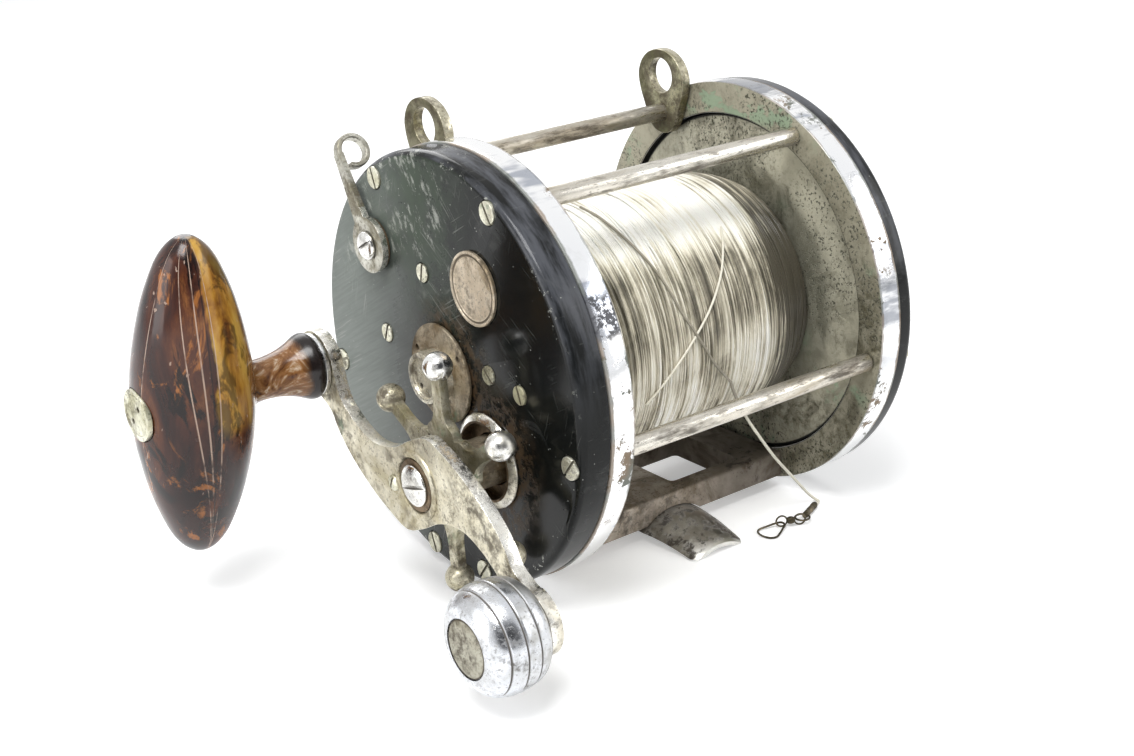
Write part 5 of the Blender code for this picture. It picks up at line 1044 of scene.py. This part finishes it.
# Star wheel
def star():
    phase = math.radians(31.9)
    reach, ball, arm = 29.35, 3.9, 1.9
    outline = []
    for index in range(6):
        middle = phase + TURN * index / 6
        along = Vector((math.cos(middle), math.sin(middle)))
        across = Vector((-along.y, along.x))
        shares = list(zip((0.44, 0.49, 0.56, 0.68, 0.93), (2.9, 1.9, 1.3, 1.0, 0.85)))
        outline += [along * (reach * r) - across * (arm * h) for r, h in shares]
        outline += [along * (reach * r) + across * (arm * h) for r, h in shares[::-1]]
        outline.append(Vector((math.cos(middle + TURN / 12), math.sin(middle + TURN / 12))) * 12.6)
    rim = [(p.x + CRANK[0], p.y + CRANK[1]) for p in curved([(*p, 0) for p in outline], 4, True)]
    spot = phase + TURN * 1.5 / 6
    pinhole = round_points(0.65, 16, (CRANK[0] + 11.0 * math.cos(spot), CRANK[1] + 11.0 * math.sin(spot)))
    web = plate(rim, [round_points(4.95, 40, CRANK), pinhole], 28.2, 30.8, 1.05, 4)
    hub = turned([(4.95, 27.3), (9.97, 27.3), (10.5, 29.2), (9.24, 30.9), (7.77, 31.5), (4.95, 31.5)],
                 CRANK, 72, True, 0.6)
    balls = []
    for index in range(6):
        a = phase + TURN * index / 6
        bm = bmesh.new()
        bmesh.ops.create_uvsphere(bm, u_segments=36, v_segments=24, radius=ball)
        bmesh.ops.translate(bm, vec=(CRANK[0] + reach * math.cos(a), CRANK[1] + reach * math.sin(a), 29.5),
                            verts=bm.verts)
        balls.append(bm)
    bright = [balls.pop(i) for i in (1, 0)]
    show("star_wheel_fine", added(web, hub, *balls), "star", olive, ("star_wheel",), 40)
    show("star_balls_bright", added(*bright), "star", ball_chrome, ("star_wheel",), 40)


star()


# Crank arm
def crank():
    outer = [(REACH * x, REACH * y) for x, y in zip(
        (0.00, 0.15, 0.28, 0.40, 0.52, 0.63, 0.73, 0.80), (0.315, 0.335, 0.336, 0.325, 0.303, 0.270, 0.222, 0.172))]
    boss = [(REACH + 9 * math.cos(a), 9 * math.sin(a))
            for a in (math.radians(115 - 265 * i / 24) for i in range(25))]
    inner = [(REACH * x, REACH * y) for x, y in zip(
        (0.745, 0.63, 0.51, 0.41, 0.31, 0.21, 0.12), (0.028, 0.063, 0.070, 0.055, 0.004, -0.082, -0.200))]
    half = outer + boss + inner
    rim = curved([(*p, 0) for p in half + [(-x, -y) for x, y in half]], 3, True)
    place = Matrix.Translation((*CRANK, 0)) @ Matrix.Rotation(TILT, 4, "Z")
    flat = [((place @ p).x, (place @ p).y) for p in rim]
    arm = plate(flat, [round_points(2.75, 24, GRIP)], 36.0, 39.5, 0.75, 4)
    pad = turned([(3.2, 37.5), (8.5, 37.5), (8.5, 40.7), (3.2, 40.7)], COUNTER, 72, True, 0.35)
    recess = [turned([(0, 38.9), (7.4, 38.9), (7.4, 42), (0, 42)], CRANK, 72)]
    arm = carved(arm, recess)
    lip = turned([(7.4, 39.3), (9.6, 39.3), (9.3, 40.0), (7.6, 40.0)], CRANK, 72, True, 0.2)
    edged(show("crank_arm_fine", added(arm, pad, lip), "crank", crank_nickel, ("crank_arm",), 40,
               looks=(edge_nickel,)), 0.88, lambda spot: from_axis(spot, CRANK) > 10)


crank()
show("crank_washer_fine", turned([(2.1, 39.2), (7.1, 39.2), (7.1, 39.8), (2.1, 39.8)], CRANK, 64, True, 0.2),
     "crank", rust_dark, ("crank_washer",))
show("crank_screw_fine", slotted(5.6, 40.1, 41.5, CRANK, math.radians(15), dome=1.4, width=1.1, depth=0.9,
                                 steps=64), "crank", ball_chrome, ("crank_screw",))
lock = (CRANK[0] - 10.9, CRANK[1] - 2.8)
show("crank_lock_screw_fine", slotted(2.2, 39.6, 40.6, lock, math.radians(70), dome=0.8, width=0.6, depth=0.5),
     "crank", screw_look, ("crank_lock_screw",))


# Counterbalance
def counterbalance():
    low, high, size = 41.0, 58.0, 14.2
    shares = list(zip((1.0, 0.95, 0.84, 0.68, 0.48, 0.15, 0.0), (0.60, 0.74, 0.885, 0.97, 1.0, 0.94, 0.80)))
    smooth = [(p.x, p.y) for p in curved([(size * r, low + (high - low) * s, 0) for s, r in shares], 18)]
    grooves = [low + (high - low) * s for s in (0.76, 0.51, 0.275)]
    profile = [(0, high - 1.1), (7.7, high - 1.1), (7.7, high)]
    for radius, level in smooth:
        near = min(abs(level - g) for g in grooves)
        profile.append((radius - 0.40 * max(0, 1 - (near / 0.32) ** 2), level))
    profile.append((0, low))
    show("counterbalance_fine", turned(profile, COUNTER, 128), "crank", counter_chrome,
         ("counterbalance",), 50)
    show("counterbalance_cap_fine", turned([(0, 57.0), (7.4, 57.0), (7.4, 57.9), (0, 57.9)], COUNTER, 72,
                                           False, 0.25), "crank", counter_cap_look,
         ("counterbalance_cap",))


counterbalance()


# Grip
def grip():
    half = 46.2
    shares = list(zip((1.0, 0.95, 0.87, 0.76, 0.60, 0.42, 0.21), (0.125, 0.31, 0.47, 0.605, 0.755, 0.875, 0.97)))
    upper = [(16 * r, half * s, 0) for s, r in shares]
    whole = [(0.0, half, 0)] + upper + [(16.0, 0, 0)] + [(r, -h, 0) for r, h, _ in upper[::-1]] + [(0.0, -half, 0)]
    smooth = [(max(0.0, p.x), max(-half, min(half, p.y))) for p in curved(whole, 6)]
    smooth[0], smooth[-1] = (0, half), (0, -half)
    turn = (Matrix.Translation((*GRIP, 76)) @ Matrix.Rotation(-math.radians(10.7), 4, "Z")
            @ Matrix.Rotation(-math.pi / 2, 4, "X"))
    barrel = turned(smooth, steps=96, matrix=turn)
    neck = [(9.2 * r, 41.4 + (62.0 - 41.4) * s, 0) for s, r in
            ((0.0, 1.0), (0.10, 0.985), (0.28, 0.80), (0.50, 0.66), (0.75, 0.61), (0.93, 0.68), (1.05, 0.92))]
    stem = [(p.x, p.y) for p in curved(neck, 6)]
    stem = turned([(0, 41.4)] + stem + [(0, stem[-1][1])], GRIP, 72)
    body = carved(barrel, [stem], "UNION")
    mesh = bpy.data.meshes.new("grip")
    body.to_mesh(mesh)
    body.free()
    obj = bpy.data.objects.new("grip_form", mesh)
    scene.collection.objects.link(obj)
    remesh = obj.modifiers.new("remesh", "REMESH")
    remesh.mode = "VOXEL"
    remesh.voxel_size = 0.55
    soften = obj.modifiers.new("soften", "SMOOTH")
    soften.factor = 0.5
    soften.iterations = 6
    graph = bpy.context.evaluated_depsgraph_get()
    made = bpy.data.meshes.new_from_object(obj.evaluated_get(graph))
    bpy.data.objects.remove(obj)
    body = bmesh.new()
    body.from_mesh(made)
    recess = turned([(0, 90.3), (7.3, 90.3), (7.3, 96), (0, 96)], GRIP, 72)
    show("grip_fine", carved(body, [recess]), "grip", shell, ("grip",), 50)


grip()
disc_profile = [(0, 90.6), (7.0, 90.6), (7.0, 92.0), (5.7, 92.0), (5.5, 91.75), (5.3, 92.0), (0, 92.0)]
pin_holes = [turned([(0, 91.2), (0.75, 91.2), (0.75, 93), (0, 93)],
                    (GRIP[0] + 2.9 * math.cos(a), GRIP[1] + 2.9 * math.sin(a)), 24) for a in (0.8, 0.8 + math.pi)]
show("grip_end_screw_fine", carved(turned(disc_profile, GRIP, 72, False, 0.12), pin_holes), "crank",
     screw_look, ("grip_end_screw",), 40)
show("grip_collar_fine", turned([(2.7, 39.8), (8.6, 39.8), (8.6, 41.1), (2.7, 41.1)], GRIP, 72, True, 0.35),
     "crank", chrome, ("grip_collar",))


# Spool
def spool():
    dish = [(48.0, 1.5), (46.2, 1.42), (44.4, 1.2), (42.5, 0.85), (40.6, 0.52), (38.8, 0.34), (37.0, 0.3)]
    profile = [(50.5, 3.3), (50.5, 1.5), *dish, (16.0, 0.3), (16.0, -87.1)]
    profile += [(radius, -86.8 - level) for radius, level in dish[::-1]]
    profile += [(50.5, -88.3), (50.5, -90.1), (5.5, -90.1), (5.5, -92.3), (3.3, -92.3), (3.3, 3.3)]
    show("spool_fine", turned(profile, steps=160, closed=True, ease=0.3), "spool", flange_look,
         ("spool",), 40)


spool()

# Wound line
PACK = list(zip((0.0, 0.03, 0.30, 0.75, 0.90, 1.0), (0.94, 0.98, 1.0, 0.99, 0.94, 0.83)))
PACK_END = -86.8


def pack_radius(share):
    for (a, low), (b, high) in zip(PACK, PACK[1:]):
        if share <= b:
            return 36.8 * (low + (high - low) * max(0, share - a) / (b - a))
    return 36.8 * PACK[-1][1]


def wound():
    core = [(pack_radius(i / 60) - 0.1, PACK_END * i / 60) for i in range(61)]
    core = [(16.3, 0.0)] + core + [(16.3, PACK_END)]
    show("line_pack", turned(core, steps=144, closed=True), "spool", core_line,
         ("line_core", "wound_line"), 60)
    dice = random.Random(7)
    turns, per = 124, 72
    points = []
    for i in range(turns * per + 1):
        share = 0.004 + 0.990 * i / (turns * per)
        angle = TURN * i / per
        sway = noise.noise(Vector((share * 26, math.cos(angle) * 1.3, math.sin(angle) * 1.3)))
        lift = noise.noise(Vector((share * 90, math.cos(angle) * 0.8 + 5, math.sin(angle) * 0.8)))
        radius = pack_radius(share) + 0.28 + 0.22 * lift
        level = PACK_END * share + 1.1 * sway * min(1, share * 20, (1 - share) * 20)
        points.append((radius * math.cos(angle), radius * math.sin(angle), max(PACK_END + 0.35, min(-0.35, level))))
    show("line_strands", tube(points, 0.36, 6), "spool", strand_line, ("wound_line",), 80)
    loose = []
    for index in range(26):
        start = dice.uniform(0.03, 0.80)
        lean = dice.choice((-1, 1)) * dice.uniform(0.02, 0.07)
        begin, sweep = dice.uniform(0, TURN), dice.uniform(2.2, 5.0)
        way = []
        for i in range(70):
            s = i / 69
            share = min(0.97, max(0.02, start + lean * s))
            angle = begin + sweep * s
            dip = min(1, s * 9, (1 - s) * 9)
            radius = pack_radius(share) + 0.15 + 0.75 * dip
            way.append((radius * math.cos(angle), radius * math.sin(angle), PACK_END * share))
        loose.append(tube(way, 0.30, 6))
    show("line_crossings", added(*loose), "spool", strand_line, ("wound_line",), 80)


wound()


def from_row(points):
    """Points given in the reel's x, y, z millimetres become u, v, w."""
    return [(-y, z, -x) for x, y, z in points]


def strand(name, points, radius, push, look):
    """A strand that lies on the pack and rides with the spool."""
    way = []
    for p in curved(from_row(points), 6):
        flat = Vector((p.x, p.y))
        share = min(1, max(0, p.z / PACK_END))
        least = pack_radius(share) + push
        if flat.length < least:
            flat = flat.normalized() * least
        way.append((flat.x, flat.y, p.z))
    show(name, tube(way, radius, 8), "spool", look, ("wound_line",), 80)


strand("line_loose_turn", [(60.1, -25.2, 28.2), (57.3, -29, 24.2), (52.7, -33.1, 18.2), (46.2, -36.1, 11.2),
                           (39.1, -37.5, 4.6), (31.3, -37.7, -2.4), (22.4, -36.4, -10.2)], 0.33, 1.1, free_look)
strand("line_last_turn", [(26.3, -6.9, 37.6), (27.5, -13.9, 35.6), (28.8, -20.9, 32.0), (30.7, -26.3, 27.7),
                          (32.7, -30.9, 22.5), (34.3, -34.1, 17.3), (36.0, -36.2, 12.1), (38.5, -37.5, 7.3),
                          (41.3, -38.1, 2.4), (44.7, -38.2, -3.4), (48.2, -37.8, -7.7), (51.8, -37.1, -11.7)],
       0.36, 1.1, shaded_look)

# Free line and its tackle
ROUTE = ((37.1, -11.7, -51.8), (35.7, -15.6, -54.0), (34.6, -20.2, -56.9), (33.9, -25.8, -60.3),
         (33.4, -34.0, -66.0), (33.1, -41.5, -71.5), (32.9, -47.8, -76.8), (33.0, -53.1, -81.2),
         (33.4, -56.9, -84.3), (34.2, -58.9, -86.2), (35.3, -59.3, -86.5), (36.0, -59.3, -85.5),
         (36.6, -59.2, -84.2))
free_points = [REEL @ p for p in curved(ROUTE, 4)]
free_curve = bpy.data.curves.new("free_line_cord", "CURVE")
free_curve.dimensions = "3D"
free_curve.bevel_depth = 0.00045
free_curve.bevel_resolution = 3
free_curve.use_fill_caps = True
spline = free_curve.splines.new("POLY")
spline.points.add(len(free_points) - 1)
for point, place in zip(spline.points, free_points):
    point.co = (*place, 1)
free_curve.materials.append(cord_look())
free_line = bpy.data.objects.new("free_line_cord", free_curve)
scene.collection.objects.link(free_line)
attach(free_line, "frame")
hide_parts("free_line")


def loop(centre, radius, first, second, wire_radius, count=40):
    return tube([centre + radius * (first * math.cos(TURN * i / count) + second * math.sin(TURN * i / count))
                 for i in range(count)], wire_radius, 10, True)


def tackle():
    up = Vector((0, 1, 0))
    start, finish = Vector((36.85, -58.9, -83.6)), Vector((40.4, -58.9, -76.0))
    along = (finish - start).normalized()
    side = along.cross(up)
    steps = [start + (finish - start) * i / 24 for i in range(25)]
    sizes = [0.98 - 0.22 * max(0, math.cos(TURN * 3 * i / 24) - 0.2) for i in range(25)]
    centre = finish + along * (2.1 - 0.15) + up * 0.4
    crimp = added(tube(steps, sizes, 20), loop(centre, 2.1, along, side, 0.3))
    crimp_piece = show("crimp_sleeve_fine", crimp, "frame", tackle_look, ("crimp_sleeve",), 50)
    pull = Vector((-0.468, 0, 0.884)).normalized()
    eye = centre + along * 2.1 + up * 0.4
    reach = 1.6 - 0.125
    first = eye + pull * reach
    last = first + pull * 2.4
    far = last + pull * reach
    barrel = [first + (last - first) * i / 20 for i in range(21)]
    widths = [1.1 * (0.55 + 0.45 * math.sin(math.pi * i / 20) ** 0.6) for i in range(21)]
    swivel = added(tube(barrel, widths, 20), loop(eye, 1.6, pull, up, 0.25), loop(far, 1.6, pull, up, 0.25))
    swivel_piece = show("swivel_fine", swivel, "frame", tackle_look, ("swivel",), 50)
    hook = [(far.x, far.y - 0.4, far.z), (38.3, -58.9, -66.7), (37.4, -59.3, -63.8), (37.0, -59.5, -61.5),
            (37.9, -59.6, -59.9), (40.5, -59.6, -59.2), (43.0, -59.6, -59.9), (43.8, -59.6, -61.6),
            (43.0, -59.5, -63.6), (41.8, -59.1, -66.0), (40.9, -58.8, -67.6)]
    snap = tube([tuple(p) for p in curved(hook, 5, True)], 0.3, 10, True)
    snap_piece = show("snap_fine", snap, "frame", tackle_look, ("snap",), 50)
    return crimp_piece, swivel_piece, snap_piece


tackle_pieces = tackle()

# The CAD nodes that stay get their looks
STAY = {
    "gear_stud": steel_look, "head_bushing": brass_look,
    "tail_bushing": brass_look, "dog_spring": steel_look, "click_spring": steel_look,
    "gear_sleeve": steel_look, "ratchet": steel_look, "main_gear": brass_look,
    "drag_washer_fibre": fibre_look, "drag_washer_steel": steel_look,
    "drag_pressure_plate": steel_look, "spacer_sleeve": rusty, "grip_spindle": steel_look,
    "spool_shaft": steel_look, "click_gear": brass_look, "pinion": steel_look,
    "pinion_yoke": brass_look, "yoke_high_spring": steel_look, "yoke_low_spring": steel_look,
    "lever_cam": brass_look, "dog": steel_look, "click_tongue": steel_look,
}
for name, look in STAY.items():
    nodes[name].data.materials.clear()
    nodes[name].data.materials.append(look)

# Floor, world and lamps
floor_mesh = bpy.data.meshes.new("floor")
floor_bm = bmesh.new()
bmesh.ops.create_grid(floor_bm, x_segments=1, y_segments=1, size=6)
floor_bm.to_mesh(floor_mesh)
floor_bm.free()
floor = bpy.data.objects.new("floor", floor_mesh)
floor.location = (0, 0, -0.00002)
scene.collection.objects.link(floor)
floor_look = bpy.data.materials.new("floor")
t = Tree(floor_look)
shader = t.nodes["Principled BSDF"]
t.put(shader.inputs["Base Color"], t.mix(t.noise(6, 2), (0.86, 0.86, 0.86), (0.88, 0.88, 0.88)))
shader.inputs["Roughness"].default_value = 0.9
shader.inputs["Specular IOR Level"].default_value = 0.1
path = t.add("ShaderNodeLightPath")
glow = t.add("ShaderNodeEmission")
glow.inputs["Color"].default_value = (1, 1, 1, 1)
glow.inputs["Strength"].default_value = 0.34
join = t.add("ShaderNodeAddShader")
t.put(join.inputs[0], shader.outputs[0])
t.put(join.inputs[1], glow.outputs[0])
choose = t.add("ShaderNodeMixShader")
seen = t.math("MAXIMUM", path.outputs["Is Camera Ray"], path.outputs["Is Transmission Ray"])
t.put(choose.inputs["Fac"], t.math("MAXIMUM", seen, path.outputs["Is Glossy Ray"]))
t.put(choose.inputs[1], shader.outputs[0])
t.put(choose.inputs[2], join.outputs[0])
t.put(t.nodes["Material Output"].inputs["Surface"], choose.outputs[0])
floor_mesh.materials.append(floor_look)

world = bpy.data.worlds.new("studio")
scene.world = world
t = Tree(world)
for node in list(t.nodes):
    t.nodes.remove(node)
spot = t.add("ShaderNodeTexCoord")
axes = t.add("ShaderNodeSeparateXYZ")
t.put(axes.inputs[0], spot.outputs["Generated"])
towards = t.add("ShaderNodeVectorMath", operation="DOT_PRODUCT")
t.put(towards.inputs[0], spot.outputs["Generated"])
towards.inputs[1].default_value = (-0.35, -0.86, 0.37)
unlit = t.step(towards.outputs["Value"], 0.60, 0.92)
room = t.mix(t.step(axes.outputs[1], 0.4, -0.7), (1.0, 1.0, 1.0), (0.90, 0.91, 0.93))
room = t.mix(unlit, room, (0.06, 0.062, 0.068))
lit = t.add("ShaderNodeBackground")
lit.inputs["Color"].default_value = (0.96, 0.98, 1.0, 1)
lit.inputs["Strength"].default_value = 0.42
mirrored = t.add("ShaderNodeBackground")
t.put(mirrored.inputs["Color"], room)
plain = t.add("ShaderNodeBackground")
plain.inputs["Color"].default_value = (1, 1, 1, 1)
path = t.add("ShaderNodeLightPath")
glossy = t.add("ShaderNodeMixShader")
t.put(glossy.inputs["Fac"], path.outputs["Is Glossy Ray"])
t.put(glossy.inputs[1], lit.outputs[0])
t.put(glossy.inputs[2], mirrored.outputs[0])
choose = t.add("ShaderNodeMixShader")
t.put(choose.inputs["Fac"], t.math("MAXIMUM", path.outputs["Is Camera Ray"], path.outputs["Is Transmission Ray"]))
t.put(choose.inputs[1], glossy.outputs[0])
t.put(choose.inputs[2], plain.outputs[0])
out = t.add("ShaderNodeOutputWorld")
t.put(out.inputs["Surface"], choose.outputs[0])


def lamp(name, place, target, size, power, size_y=None):
    data = bpy.data.lights.new(name, "AREA")
    data.energy = power
    data.shape = "RECTANGLE"
    data.size = size
    data.size_y = size_y or size
    obj = bpy.data.objects.new(name, data)
    scene.collection.objects.link(obj)
    obj.location = place
    obj.rotation_mode = "QUATERNION"
    obj.rotation_quaternion = (Vector(target) - Vector(place)).to_track_quat("-Z", "Y")


middle = (0, 0, 0.06)
lamp("key", (-0.40, -0.30, 1.00), middle, 0.50, 10.0)
lamp("fill", (0.85, -0.75, 0.50), middle, 0.70, 3.5)
lamp("side", (-1.05, 0.15, 0.35), middle, 0.5, 4.0, 0.8)
lamp("back", (0.25, 0.95, 0.70), middle, 0.6, 4.0)

scene.view_settings.view_transform = "Standard"
